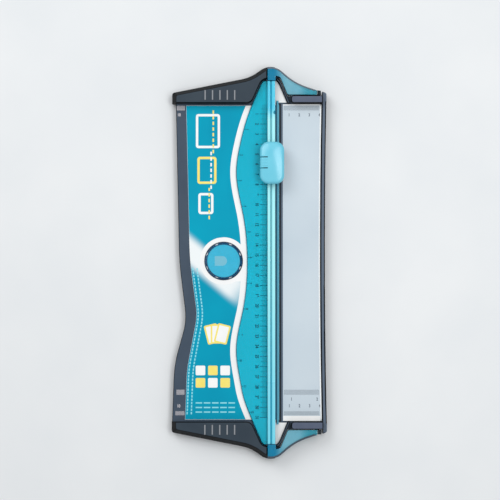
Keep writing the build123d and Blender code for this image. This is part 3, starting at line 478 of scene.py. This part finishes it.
arm_clear = skin("frosted_polycarbonate_arm", ("#80cfe6", "#8ed6ec"), patch=12, grain=1.5,
                 gloss=(0.08, 0.20), depth=0.004, sockets={**POLISHED, "Transmission Weight": 0.45})
overlay(arm_clear, mask_along(arm_clear, "X", *DEEP_X), "#00a2d2", gloss=0.12, passing=0.50)
overlay(arm_clear, mask_along(arm_clear, "X", *TEAL_X), "#46c2dc", gloss=0.12, passing=0.60)
# painted shade: the arm's steep walls are darkened
overlay(arm_clear, mask_along(arm_clear, "Z", *WALL_SHADE_SLOPE, source="Normal"), "#0b3a52", gloss=0.15,
        passing=0.05, shine=0.02)
# painted shade: the knuckle round the pin is darkened to near black
overlay(arm_clear, mask_along(arm_clear, "X", *KNUCKLE_SHADE_X), "#10242e", gloss=0.20, passing=0.50)
dress(arm_clear, "far_end_arm", "near_end_arm")

# %% [markdown]
# New pieces are surfaces worked out as whole arrays. A part is its points and
# its groups of faces, and a piece is any number of parts put into one mesh,
# given a name, a material and a body to ride on.

# %% Building new pieces
def grid_part(points, around=False):
    """A grid of points, rows by columns, with a quad between each four neighbours. One that is closed
    around is a tube, and its first and last rows are faces too."""
    rows, columns = points.shape[:2]
    index = np.arange(rows * columns).reshape(rows, columns)
    groups = []
    if around:
        groups.append(np.stack([index[0, ::-1], index[-1]]))
        index = np.hstack([index, index[:, :1]])
    quads = np.stack([index[:-1, :-1], index[:-1, 1:], index[1:, 1:], index[1:, :-1]], axis=-1)
    return points.reshape(-1, 3), [quads.reshape(-1, 4), *groups]


def flat(points, height):
    """Points in X and Y laid at one height."""
    return np.concatenate([points, np.full((*points.shape[:-1], 1), height)], axis=-1)


def turned(points, turn):
    """Points in X and Y turned about the origin: the plane's rotation matrix."""
    cos, sin = np.cos(turn), np.sin(turn)
    return points @ np.array([[cos, sin], [-sin, cos]])


def add_piece(name, parts, material, body, smooth=False):
    """Parts joined in one mesh: the faces of each part count on from the points before it."""
    starts = np.cumsum([0] + [len(points) for points, groups in parts])
    faces = []
    for start, (points, groups) in zip(starts, parts):
        for group in groups:
            faces += (group + start).tolist()
    mesh = bpy.data.meshes.new(name)
    mesh.from_pydata(np.vstack([points for points, groups in parts]).tolist(), [], faces)
    mesh.polygons.foreach_set("use_smooth", np.full(len(faces), smooth))
    mesh.materials.append(material)
    piece = bpy.data.objects.new(name, mesh)
    bpy.context.scene.collection.objects.link(piece)
    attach(piece, body)
    print(name, len(faces), "faces on", body)
    return piece


# %% [markdown]
# The card that lies on the platform is coated white board, printed on one
# side. Its ink is a film a few microns thick; here each film floats 0.05 mm
# over what carries it, which is enough to keep the two apart. The blue field
# reaches from the card's left edge to a white band along the ruler's wave, so
# both lines are read from the solids that make them.

# %% Card board and the lines it follows
FILM = 0.05 * MM
LEVEL_SLACK = 0.02 * MM         # points this near to a height count as lying at it
DIGITS = 6                      # of a metre: points are told apart to a micron
CARD_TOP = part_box("platform_card")[1].z
CARD_END = 155.2 * MM           # the printed field ends here
HOLE_CLEAR = 20.0 * MM          # points this near to the case belong to its hole, not to an outline

card_board = skin("coated_white_board", ("#f1f3f3", "#f7f8f8"), patch=40, grain=1.5, gloss=(0.38, 0.5),
                  depth=0.004, sockets={"IOR": 1.5})
dress(card_board, "platform_card")


def outline_x(node, level, side):
    """A function that gives X along Y on the left (-1) or right (1) outline of a solid at one height."""
    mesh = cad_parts[node].data
    points = np.empty(len(mesh.vertices) * 3)
    mesh.vertices.foreach_get("co", points)
    points = points.reshape(-1, 3)
    points = points[np.abs(points[:, 2] - level) < LEVEL_SLACK]
    points = points[np.linalg.norm(points[:, :2] - CASE_CENTRE, axis=1) > HOLE_CLEAR]
    order = np.lexsort((points[:, 0] * -side, np.round(points[:, 1], DIGITS)))
    along, first = np.unique(np.round(points[order, 1], DIGITS), return_index=True)
    across = points[order, 0][first]
    return lambda y: np.interp(y, along, across)


card_left = outline_x("platform_card", CARD_TOP, -1)
wave_x = outline_x("clear_ruler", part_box("clear_ruler")[0].z, -1)
panel_right = outline_x("offcut_panel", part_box("offcut_panel")[1].z, 1)
print("at mid-length: card from", round(card_left(0) / MM, 1), "ruler from", round(wave_x(0) / MM, 1), "mm")

# %% [markdown]
# A pale glow lies across the blue ink, past the ring that goes round the case.
# The ink is printed in dots that thin out there, which from a hand's breadth
# away is a soft change of colour. A Mapping node turns the plan so that the
# glow runs along X, and it falls off with the distance along and across it.

# %% Blue ink and its glow
INK = {"IOR": 1.5, "Specular IOR Level": 0.08}  # the board drinks the ink, so it hardly shines
GLOW_TURN = np.radians(-40)
GLOW_CENTRE = CASE_CENTRE + np.array([-19.7, -1.5]) * MM
GLOW_WIDE, GLOW_LONG = (5 * MM, 17 * MM), (32 * MM, 64 * MM)   # full and gone at these distances

blue_ink = skin("offset_ink_blue", ("#0096b6", "#00a2c0"), patch=60, grain=0.8, gloss=(0.42, 0.52),
                depth=0.003, sockets=INK)


def glow_mask(material):
    """Full on a line past the ring: falls off with the distance from the line and along it."""
    tree = material.node_tree
    place = tree.nodes["Texture Coordinate"].outputs["Object"]
    level = add_node(tree, "ShaderNodeMapping", {"vector_type": "TEXTURE"}, {
        "Vector": place, "Location": (*GLOW_CENTRE, 0), "Rotation": (0, 0, GLOW_TURN)})
    parts = add_node(tree, "ShaderNodeSeparateXYZ", {}, {"Vector": level.outputs["Vector"]})
    mask = 1.0
    for axis, (full, gone) in (("X", GLOW_LONG), ("Y", GLOW_WIDE)):
        size = add_node(tree, "ShaderNodeMath", {"operation": "ABSOLUTE"}, {0: parts.outputs[axis]})
        mask = add_node(tree, "ShaderNodeMapRange", {"interpolation_type": "SMOOTHERSTEP"}, {
            "Value": size.outputs["Value"], "From Min": gone, "From Max": full,
            "To Max": mask}).outputs["Result"]
    return mask


overlay(blue_ink, glow_mask(blue_ink), "#eef4f6", gloss=0.45)
print("glow", round(2 * GLOW_LONG[1] / MM), "mm long and", round(2 * GLOW_WIDE[1] / MM), "mm wide")

# %% [markdown]
# The blue field is made of strips between two curves: each row of the grid runs
# from the left curve to the right one at its own Y. Round the case the field
# stops at a white ring, so a strip ends at the ring's circle, and small wedges
# fill the corners between the ring and the band.

# %% Blue field of the card
BAND = 5.8 * MM                 # width of the white band
RING = 23.5 * MM                # radius of the white ring
RING_STEPS = 2001               # fine enough to find where the ring meets the band
EDGE_BARE = 0.15 * MM
WEDGE_BARE = 4.0 * MM           # the tip of the lower wedge is lost in the glow


def strip(left, right, y_low, y_high, rows=80, columns=6):
    """Grid between two curves of Y: X goes from left to right along each row."""
    y = np.linspace(y_low, y_high, rows)[:, None]
    share = np.linspace(0, 1, columns)[None, :]
    x = left(y) + (right(y) - left(y)) * share
    return grid_part(flat(np.stack([x, np.broadcast_to(y, x.shape)], axis=-1), CARD_TOP + FILM))


def field_left(y):
    """Left side of the blue field: the card's edge, with a hair of bare board."""
    return card_left(y) + EDGE_BARE


def field_right(y):
    """Right side of the blue field: the ruler's wave, less the white band."""
    return wave_x(y) - BAND


def ring_x(side):
    """A function that gives X on the left (-1) or right (1) half of the white ring: its circle at Y."""
    return lambda y: CASE_CENTRE[0] + side * np.sqrt(np.maximum(RING ** 2 - (y - CASE_CENTRE[1]) ** 2, 0))


ring_low, ring_high = CASE_CENTRE[1] - RING, CASE_CENTRE[1] + RING
ring_rows = np.linspace(ring_low, ring_high, RING_STEPS)
open_rows = ring_rows[ring_x(1)(ring_rows) < field_right(ring_rows)]
wedge_low = open_rows[open_rows < CASE_CENTRE[1]].max() - WEDGE_BARE
wedge_high = open_rows[open_rows > CASE_CENTRE[1]].min()
field_parts = [
    strip(field_left, field_right, ring_high, CARD_END),
    strip(field_left, field_right, -CARD_END, ring_low),
    strip(field_left, ring_x(-1), ring_low, ring_high),
    strip(ring_x(1), field_right, wedge_high, ring_high),
    strip(ring_x(1), field_right, ring_low, wedge_low),
]
add_piece("card_blue_field", field_parts, blue_ink, "base")

# %% [markdown]
# The card's design is a plain one of sheets and cut lines. A bar is its middle
# line moved half a width to each side, which serves for every tick, dash and
# stripe of the object. A sheet's outline is a quarter circle about each of its
# four corner centres; two outlines, one inside the other, make a drawn line.

# %% Bars and sheets
LEAST_CORNER = 0.25             # radius of a line's inner corner at least, as a share of the line's width


def bars(starts, ends, width, height):
    """Flat bars: each middle line, from start to end, moved half a width to both sides."""
    starts, ends = np.asarray(starts, float), np.asarray(ends, float)
    along = (ends - starts) / np.linalg.norm(ends - starts, axis=1, keepdims=True)
    side = np.stack([-along[:, 1], along[:, 0]], axis=1) * width / 2
    corners = np.stack([starts - side, ends - side, ends + side, starts + side], axis=1)
    return flat(corners, height).reshape(-1, 3), [np.arange(len(starts) * 4).reshape(-1, 4)]


def sheet_outline(size, radius, centre, turn=0.0, steps=6):
    """Outline of a sheet with round corners: quarter circles about the four corner centres, turned."""
    quarter = np.arange(4)[:, None] * np.pi / 2
    angle = quarter + np.linspace(0, np.pi / 2, steps)
    corner = np.sign(np.stack([np.cos(quarter + np.pi / 4), np.sin(quarter + np.pi / 4)], axis=-1))
    arc = radius * np.stack([np.cos(angle), np.sin(angle)], axis=-1)
    points = corner * (np.array(size) / 2 - radius) + arc
    return turned(points.reshape(-1, 2), turn) + centre


def drawn_sheet(size, radius, line, centre, turn, height):
    """A sheet as a line of that width: quads between its outline and a smaller one inside it."""
    outer = sheet_outline(size, radius, centre, turn)
    inner = sheet_outline(np.array(size) - 2 * line, max(radius - line, line * LEAST_CORNER), centre, turn)
    loops = flat(np.stack([outer, inner]), height)
    return grid_part(np.concatenate([loops, loops[:, :1]], axis=1))


def filled_sheet(size, radius, centre, turn, height):
    """A sheet filled with one flat face."""
    points = sheet_outline(size, radius, centre, turn)
    return flat(points, height), [np.arange(len(points))[None, :]]


def dashes(start, end, dash, gap, width, height):
    """Dashes from start to end: bars of one length with a gap after each."""
    start, end = np.asarray(start, float), np.asarray(end, float)
    length = np.linalg.norm(end - start)
    begins = np.arange(0, length - dash / 2, dash + gap)[:, None]
    along = (end - start) / length
    return bars(start + begins * along, start + np.minimum(begins + dash, length) * along, width, height)


print("a drawn sheet has", len(drawn_sheet((1, 1), 0.1, 0.1, 0, 0, 0)[1][0]), "quads")

# %% [markdown]
# Three drawn sheets of falling size stand in the upper field, each with a cut
# line through it. Screen inks are opaque and slightly matt, so each is a skin
# with a fine tooth. The two inks trade places from sheet to sheet, so all the
# shapes of one ink are gathered in a list and become one piece further down.

# %% Inks, printed sheets and cut lines
INK_TOP = CARD_TOP + 2 * FILM
INK_OVER = CARD_TOP + 3 * FILM
SHEETS = [((24, 34), (-41, 130)), ((19, 27), (-42, 91)), ((15, 21), (-43, 58))]    # size and centre, mm
SHEET_LINE, SHEET_CORNER = 2.4 * MM, 2.6 * MM
CUT_PLACE, CUT_OVERHANG = 0.22, 5 * MM      # share of the width right of the middle, and past the sheet
CUT_DASH, CUT_GAP, CUT_WIDTH = 3.4 * MM, 2.2 * MM, 1.5 * MM

white_ink = skin("screen_ink_white", ("#f2f4f4", "#f8f9f9"), patch=10, grain=0.8, gloss=(0.42, 0.52),
                 depth=0.004, sockets=INK)
yellow_ink = skin("screen_ink_yellow", ("#f5e173", "#f9e982"), patch=10, grain=0.8, gloss=(0.42, 0.52),
                  depth=0.004, sockets=INK)
white_parts, yellow_parts = [], []
for rank, (size, centre) in enumerate(SHEETS):
    size, centre = np.array(size) * MM, np.array(centre) * MM
    lines, cuts = (yellow_parts, white_parts) if rank % 2 else (white_parts, yellow_parts)
    lines.append(drawn_sheet(size, SHEET_CORNER, SHEET_LINE, centre, 0, INK_TOP))
    cut_x = centre[0] + size[0] * CUT_PLACE
    cut_reach = size[1] / 2 + CUT_OVERHANG
    cuts.append(dashes((cut_x, centre[1] - cut_reach), (cut_x, centre[1] + cut_reach),
                       CUT_DASH, CUT_GAP, CUT_WIDTH, INK_OVER))
print(len(SHEETS), "sheets with cut lines")

# %% [markdown]
# In the lower field lies a fan of three small sheets, each one film above the
# last, and under it two rows of cut-off squares in the two inks by turns.

# %% Fan of sheets and cut-off squares
FAN_TURNS = np.radians([14, 0, -14])
FAN_SIZE, FAN_CENTRE, FAN_SPREAD = np.array([13, 19]) * MM, np.array([-31.6, -71]) * MM, 5 * MM
FAN_CORNER, FAN_LINE = 1.6 * MM, 1.6 * MM
OFFCUT_SIZE, OFFCUT_CORNER = np.array([9.5, 9.5]) * MM, 1.2 * MM
OFFCUT_MIDDLE, OFFCUT_PITCH = np.array([-36, -107]) * MM, 12.2 * MM
OFFCUT_ROWS, OFFCUT_COLUMNS = 2, 3

for rank, turn in enumerate(FAN_TURNS):
    centre = FAN_CENTRE + np.array([rank - 1, 0]) * FAN_SPREAD
    height = INK_TOP + rank * FILM
    white_parts.append(filled_sheet(FAN_SIZE, FAN_CORNER, centre, turn, height))
    yellow_parts.append(drawn_sheet(FAN_SIZE, FAN_CORNER, FAN_LINE, centre, turn, height + FILM / 2))
for rank in range(OFFCUT_ROWS * OFFCUT_COLUMNS):
    row, column = divmod(rank, OFFCUT_COLUMNS)
    centre = OFFCUT_MIDDLE + np.array([column - 1, -row]) * OFFCUT_PITCH
    target = yellow_parts if rank % 2 else white_parts
    target.append(filled_sheet(OFFCUT_SIZE, OFFCUT_CORNER, centre, 0, INK_TOP))
add_piece("card_white_sheets", white_parts, white_ink, "base")
add_piece("card_yellow_lines", yellow_parts, yellow_ink, "base")

# %% [markdown]
# Two dashed stripes follow the scooped edge of the card, each a fixed way in from
# it, and three rows of dashes close the design at the near end. Both are bars
# in a pale cyan ink: the ends of each dash are read off the card's own edge.

# %% Dashed stripes along the scooped edge
STRIPE_OFFSETS = (1.9 * MM, 6.0 * MM)       # from the card's edge
STRIPE_FAR, STRIPE_NEAR = -6 * MM, -150 * MM
STRIPE_DASH, STRIPE_GAP, STRIPE_WIDTH = 2.3 * MM, 1.0 * MM, 1.3 * MM
ROW_LINES = (-139 * MM, -143.5 * MM, -148 * MM)
ROW_LEFT, ROW_RIGHT = -53 * MM, -14 * MM
ROW_DASH, ROW_GAP = 6.5 * MM, 1.6 * MM

cyan_ink = skin("screen_ink_pale_cyan", ("#86d8e6", "#95e0ec"), patch=10, grain=0.8, gloss=(0.42, 0.52),
                depth=0.004, sockets=INK)
stripe_parts = []
stripe_y = np.arange(STRIPE_FAR, STRIPE_NEAR, -(STRIPE_DASH + STRIPE_GAP))
for reach in STRIPE_OFFSETS:
    begins = np.stack([card_left(stripe_y) + reach, stripe_y], axis=1)
    finishes = np.stack([card_left(stripe_y - STRIPE_DASH) + reach, stripe_y - STRIPE_DASH], axis=1)
    stripe_parts.append(bars(finishes, begins, STRIPE_WIDTH, INK_TOP))
for y in ROW_LINES:
    stripe_parts.append(dashes((ROW_LEFT, y), (ROW_RIGHT, y), ROW_DASH, ROW_GAP, STRIPE_WIDTH, INK_TOP))
add_piece("card_dashed_stripes", stripe_parts, cyan_ink, "base")

# %% [markdown]
# Every scale counts in plain numbers. Figures come from Blender's own font: a
# text is made a flat mesh first, then its points are scaled to the height that
# is wanted, turned, and moved to their places, so the finished piece sits at
# the origin like all the others.

# %% Figures
FIGURE_WEIGHT = 0.03        # strokes grow by this share of the type's size, for a bolder face
FIGURE_NARROW = 0.78        # and the face is a narrow one


def figure_part(text, centre, tall, turn, height):
    """A number as flat faces: its outline about its own middle, scaled to a height, turned and moved."""
    curve = bpy.data.curves.new("figure", "FONT")
    curve.body = text
    curve.offset = FIGURE_WEIGHT
    holder = bpy.data.objects.new("figure", curve)
    mesh = bpy.data.meshes.new_from_object(holder)
    points = np.empty(len(mesh.vertices) * 3)
    mesh.vertices.foreach_get("co", points)
    points = points.reshape(-1, 3)[:, :2]
    mesh.calc_loop_triangles()
    faces = np.empty(len(mesh.loop_triangles) * 3, int)
    mesh.loop_triangles.foreach_get("vertices", faces)
    low, high = points.min(axis=0), points.max(axis=0)
    points = (points - (low + high) / 2) * [FIGURE_NARROW, 1] * tall / (high[1] - low[1])
    bpy.data.objects.remove(holder)
    bpy.data.curves.remove(curve)
    bpy.data.meshes.remove(mesh)
    return flat(turned(points, turn) + centre, height), [faces.reshape(-1, 3)]


print("a figure has", len(figure_part("8", (0, 0), MM, 0, 0)[1][0]), "faces")

# %% [markdown]
# The ruler carries two scales from the far fence: centimetres along the rail,
# with a short tick for every millimetre, and inches along the wavy edge. The
# figures stand sideways, to be read with the rail in front of you. The ink is
# a deep teal, printed on the plate's upper face. Real ticks are about 0.15 mm
# wide; the long ones are drawn wider here, so that they show in the picture.

# %% Ruler scales
RULER_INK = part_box("clear_ruler")[1].z + FILM
ZERO_Y = 156.8 * MM
CENTIMETRE, LAST_CM = 10 * MM, 31
SCALE_X = 17.8 * MM
TICKS = {10: (7.2 * MM, 0.50 * MM), 5: (6.4 * MM, 0.30 * MM), 1: (5.2 * MM, 0.18 * MM)}   # length and width
CM_FIGURE_X, CM_FIGURE = 7.7 * MM, 3.4 * MM
INCH, LAST_INCH = 25.4 * MM, 12
INCH_TICK, INCH_TICK_WIDTH = (0.9 * MM, 2.3 * MM), 0.4 * MM
INCH_FIGURE_X, INCH_FIGURE = 4.0 * MM, 2.5 * MM
SIDEWAYS = -np.pi / 2

teal_ink = skin("pad_ink_teal", ("#06394c", "#094257"), patch=8, grain=0.6, gloss=(0.4, 0.5), depth=0.003,
                sockets=INK)
millimetres = np.arange(1, LAST_CM * 10 + 1)
tick_steps = np.select([millimetres % 10 == 0, millimetres % 5 == 0], [10, 5], 1)
ruler_parts = []
for step, (tick_long, tick_wide) in TICKS.items():
    tick_y = ZERO_Y - millimetres[tick_steps == step] * MM
    tick_right = np.full(len(tick_y), SCALE_X)
    ruler_parts.append(bars(np.stack([tick_right - tick_long, tick_y], axis=1),
                            np.stack([tick_right, tick_y], axis=1), tick_wide, RULER_INK))
for count in range(1, LAST_CM + 1):
    centre = (CM_FIGURE_X, ZERO_Y - count * CENTIMETRE)
    ruler_parts.append(figure_part(str(count), centre, CM_FIGURE, SIDEWAYS, RULER_INK))
inch_y = ZERO_Y - np.arange(1, LAST_INCH + 1) * INCH
inch_x = wave_x(inch_y)
ruler_parts.append(bars(np.stack([inch_x + INCH_TICK[0], inch_y], axis=1),
                        np.stack([inch_x + INCH_TICK[1], inch_y], axis=1), INCH_TICK_WIDTH, RULER_INK))
for count, x, y in zip(range(1, LAST_INCH + 1), inch_x, inch_y):
    ruler_parts.append(figure_part(str(count), (x + INCH_FIGURE_X, y), INCH_FIGURE, SIDEWAYS, RULER_INK))
add_piece("ruler_scales", ruler_parts, teal_ink, "ruler_arm")

# %% [markdown]
# The panel and the bare strip at the left measure how far the sheet reaches
# past the cut, so they count sideways from the blade's line. Each band is a row
# of fine ticks, one to a millimetre; there is one at the far fence and two at
# the near one, the inner of which counts inches. Grey ink serves for the pale
# panel and white ink for the dark strip.

# %% Panel and strip scales
CUT_X = 30.55 * MM
PANEL_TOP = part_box("offcut_panel")[1].z
PANEL_INK = PANEL_TOP + FILM / 2
STRIP_INK = PLATFORM_Z + FILM
BANDS = [(150.6 * MM, 155.4 * MM), (-131.0 * MM, -126.0 * MM), (-151.2 * MM, -147.2 * MM)]
FINE_TICK, PALE_TICK = 0.30 * MM, 0.50 * MM
PANEL_TICKS = (34.2 * MM, 69.4 * MM)
PANEL_FIGURE, PANEL_LAST_CM, PANEL_LAST_INCH = 3.1 * MM, 4, 2
PANEL_CM_ROWS, PANEL_CM_SHIFT = (146.2 * MM, -141.8 * MM), -1.05 * MM   # figures stand left of their ticks
PANEL_INCH_ROW, PANEL_INCH_ZERO = -135.2 * MM, 16.2 * MM
STRIP_TICKS, STRIP_WIDTH = (-74.0 * MM, -63.6 * MM), 9.5 * MM
STRIP_FIGURE, STRIP_FIGURE_ROWS = 3.1 * MM, (146.2 * MM, -142.0 * MM)
STRIP_CM = 10                   # the strip's figure counts the centimetres from the cut

grey_ink = skin("pad_ink_grey", ("#56626f", "#616d7b"), patch=8, grain=0.6, gloss=(0.4, 0.5), depth=0.003,
                sockets=INK)
pale_ink = skin("pad_ink_white", ("#c9c6cb", "#d6d3d7"), patch=8, grain=0.6, gloss=(0.4, 0.5), depth=0.003,
                sockets=INK)


def tick_band(x_low, x_high, band, width, height):
    """Upright ticks, one to a millimetre from the cut, between two places across."""
    first = np.ceil((x_low - CUT_X) / MM)
    x = CUT_X + np.arange(first, (x_high - CUT_X) / MM) * MM
    return bars(np.stack([x, np.full_like(x, band[0])], axis=1),
                np.stack([x, np.full_like(x, band[1])], axis=1), width, height)


panel_parts = [tick_band(*PANEL_TICKS, band, FINE_TICK, PANEL_INK) for band in BANDS]
for y in PANEL_CM_ROWS:
    for count in range(1, PANEL_LAST_CM + 1):
        centre = (CUT_X + count * CENTIMETRE + PANEL_CM_SHIFT, y)
        panel_parts.append(figure_part(str(count), centre, PANEL_FIGURE, 0, PANEL_INK))
for count in range(1, PANEL_LAST_INCH + 1):
    centre = (PANEL_INCH_ZERO + count * INCH, PANEL_INCH_ROW)
    panel_parts.append(figure_part(str(count), centre, PANEL_FIGURE, 0, PANEL_INK))
add_piece("panel_scales", panel_parts, grey_ink, "base")

strip_parts = []
for band in BANDS:
    strip_left = max(STRIP_TICKS[0], card_left(band[0]) - STRIP_WIDTH)
    strip_parts.append(tick_band(strip_left, STRIP_TICKS[1], band, PALE_TICK, STRIP_INK))
for y in STRIP_FIGURE_ROWS:
    centre = (CUT_X - STRIP_CM * CENTIMETRE, y)
    strip_parts.append(figure_part(str(STRIP_CM), centre, STRIP_FIGURE, 0, STRIP_INK))
add_piece("strip_scales", strip_parts, pale_ink, "base")

# %% [markdown]
# The panel has a slim polished bead along its right edge, coloured near white as
# a painted highlight so that it shows as a white line, and white margins at its
# ends. The bead is a half-round profile carried along the edge: its section is
# an arc above a flat foot.

# %% Bead and margins of the panel
BEAD_WIDTH, BEAD_RISE, BEAD_INSET = 1.3 * MM, 0.35 * MM, 0.75 * MM
BEAD_END = 156.6 * MM
BEAD_ROWS, BEAD_STEPS = 120, 9              # along the edge and round the arc
MARGINS = [(155.7 * MM, BEAD_END), (-BEAD_END, -151.8 * MM)]
MARGIN_LEFT, MARGIN_RIGHT = 0.2 * MM, 1.6 * MM      # how far it stays inside the panel's sides

# painted highlight: the bead is coloured near white
bead_highlight_skin = skin("polished_polystyrene_painted_highlight", ("#f3f7f8", "#f9fbfb"), patch=20, grain=1.0, gloss=(0.12, 0.2),
                    depth=0.002, sockets={"IOR": 1.59})
bead_y = np.linspace(-BEAD_END, BEAD_END, BEAD_ROWS)[:, None]
bead_arc = np.linspace(np.pi, 0, BEAD_STEPS)[None, :]
bead_x = panel_right(bead_y) - BEAD_INSET + BEAD_WIDTH / 2 * np.cos(bead_arc)
bead_z = PANEL_TOP + BEAD_RISE * np.sin(bead_arc)
bead_points = np.stack(np.broadcast_arrays(bead_x, bead_y, bead_z), axis=-1)
add_piece("panel_bead", [grid_part(bead_points, around=True)], bead_highlight_skin, "base",
          smooth=True)

margin_parts = []
margin_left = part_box("offcut_panel")[0].x + MARGIN_LEFT
for low, high in MARGINS:
    middle = (low + high) / 2
    margin_right = panel_right(middle) - MARGIN_RIGHT
    margin_parts.append(bars([(margin_left, middle)], [(margin_right, middle)], high - low, PANEL_INK))
add_piece("panel_margins", margin_parts, white_ink, "base")

# %% [markdown]
# Under the cap two coil springs lift it off the paper. They are drawn as a
# round wire carried along a helix: each ring of points lies in the plane that
# the wire crosses squarely. A spring has to shorten when the cap goes down; each
# one rides on the slider, with a mesh of its own.

# %% Return springs
WIRE, TURNS = 0.3 * MM, 4.5     # the wire's radius and the turns of the coil
SIDES, STEPS = 8, 110           # points round the wire and rings along it


def coil_spring(node):
    """A wire along a helix: each ring is the wire's radius times the cosine of the outward normal, less
    its sine of the upward one."""
    low, high = (np.array(corner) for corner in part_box(node))
    middle = (low + high) / 2
    radius = (high[0] - low[0]) / 2 - WIRE
    rise = high[2] - low[2] - 2 * WIRE
    angle = np.linspace(0, TURNS * 2 * np.pi, STEPS)
    slope = np.arctan2(rise, TURNS * 2 * np.pi * radius)
    zero = np.zeros_like(angle)
    outward = np.stack([np.cos(angle), np.sin(angle), zero], axis=-1)
    upward = np.stack([np.sin(slope) * np.sin(angle), -np.sin(slope) * np.cos(angle), zero + np.cos(slope)],
                      axis=-1)
    path = radius * outward + np.stack([zero, zero, angle / angle[-1] * rise], axis=-1)
    path = path + [middle[0], middle[1], low[2] + WIRE]
    ring = np.linspace(0, 2 * np.pi, SIDES, endpoint=False)[None, :, None]
    points = path[:, None] + WIRE * (np.cos(ring) * outward[:, None] - np.sin(ring) * upward[:, None])
    piece = add_piece(node + "_coil", [grid_part(points, around=True)], zinc_steel, "slider",
                      smooth=True)
    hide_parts(node)
    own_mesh(piece)


for node in ("far_return_spring", "near_return_spring"):
    coil_spring(node)
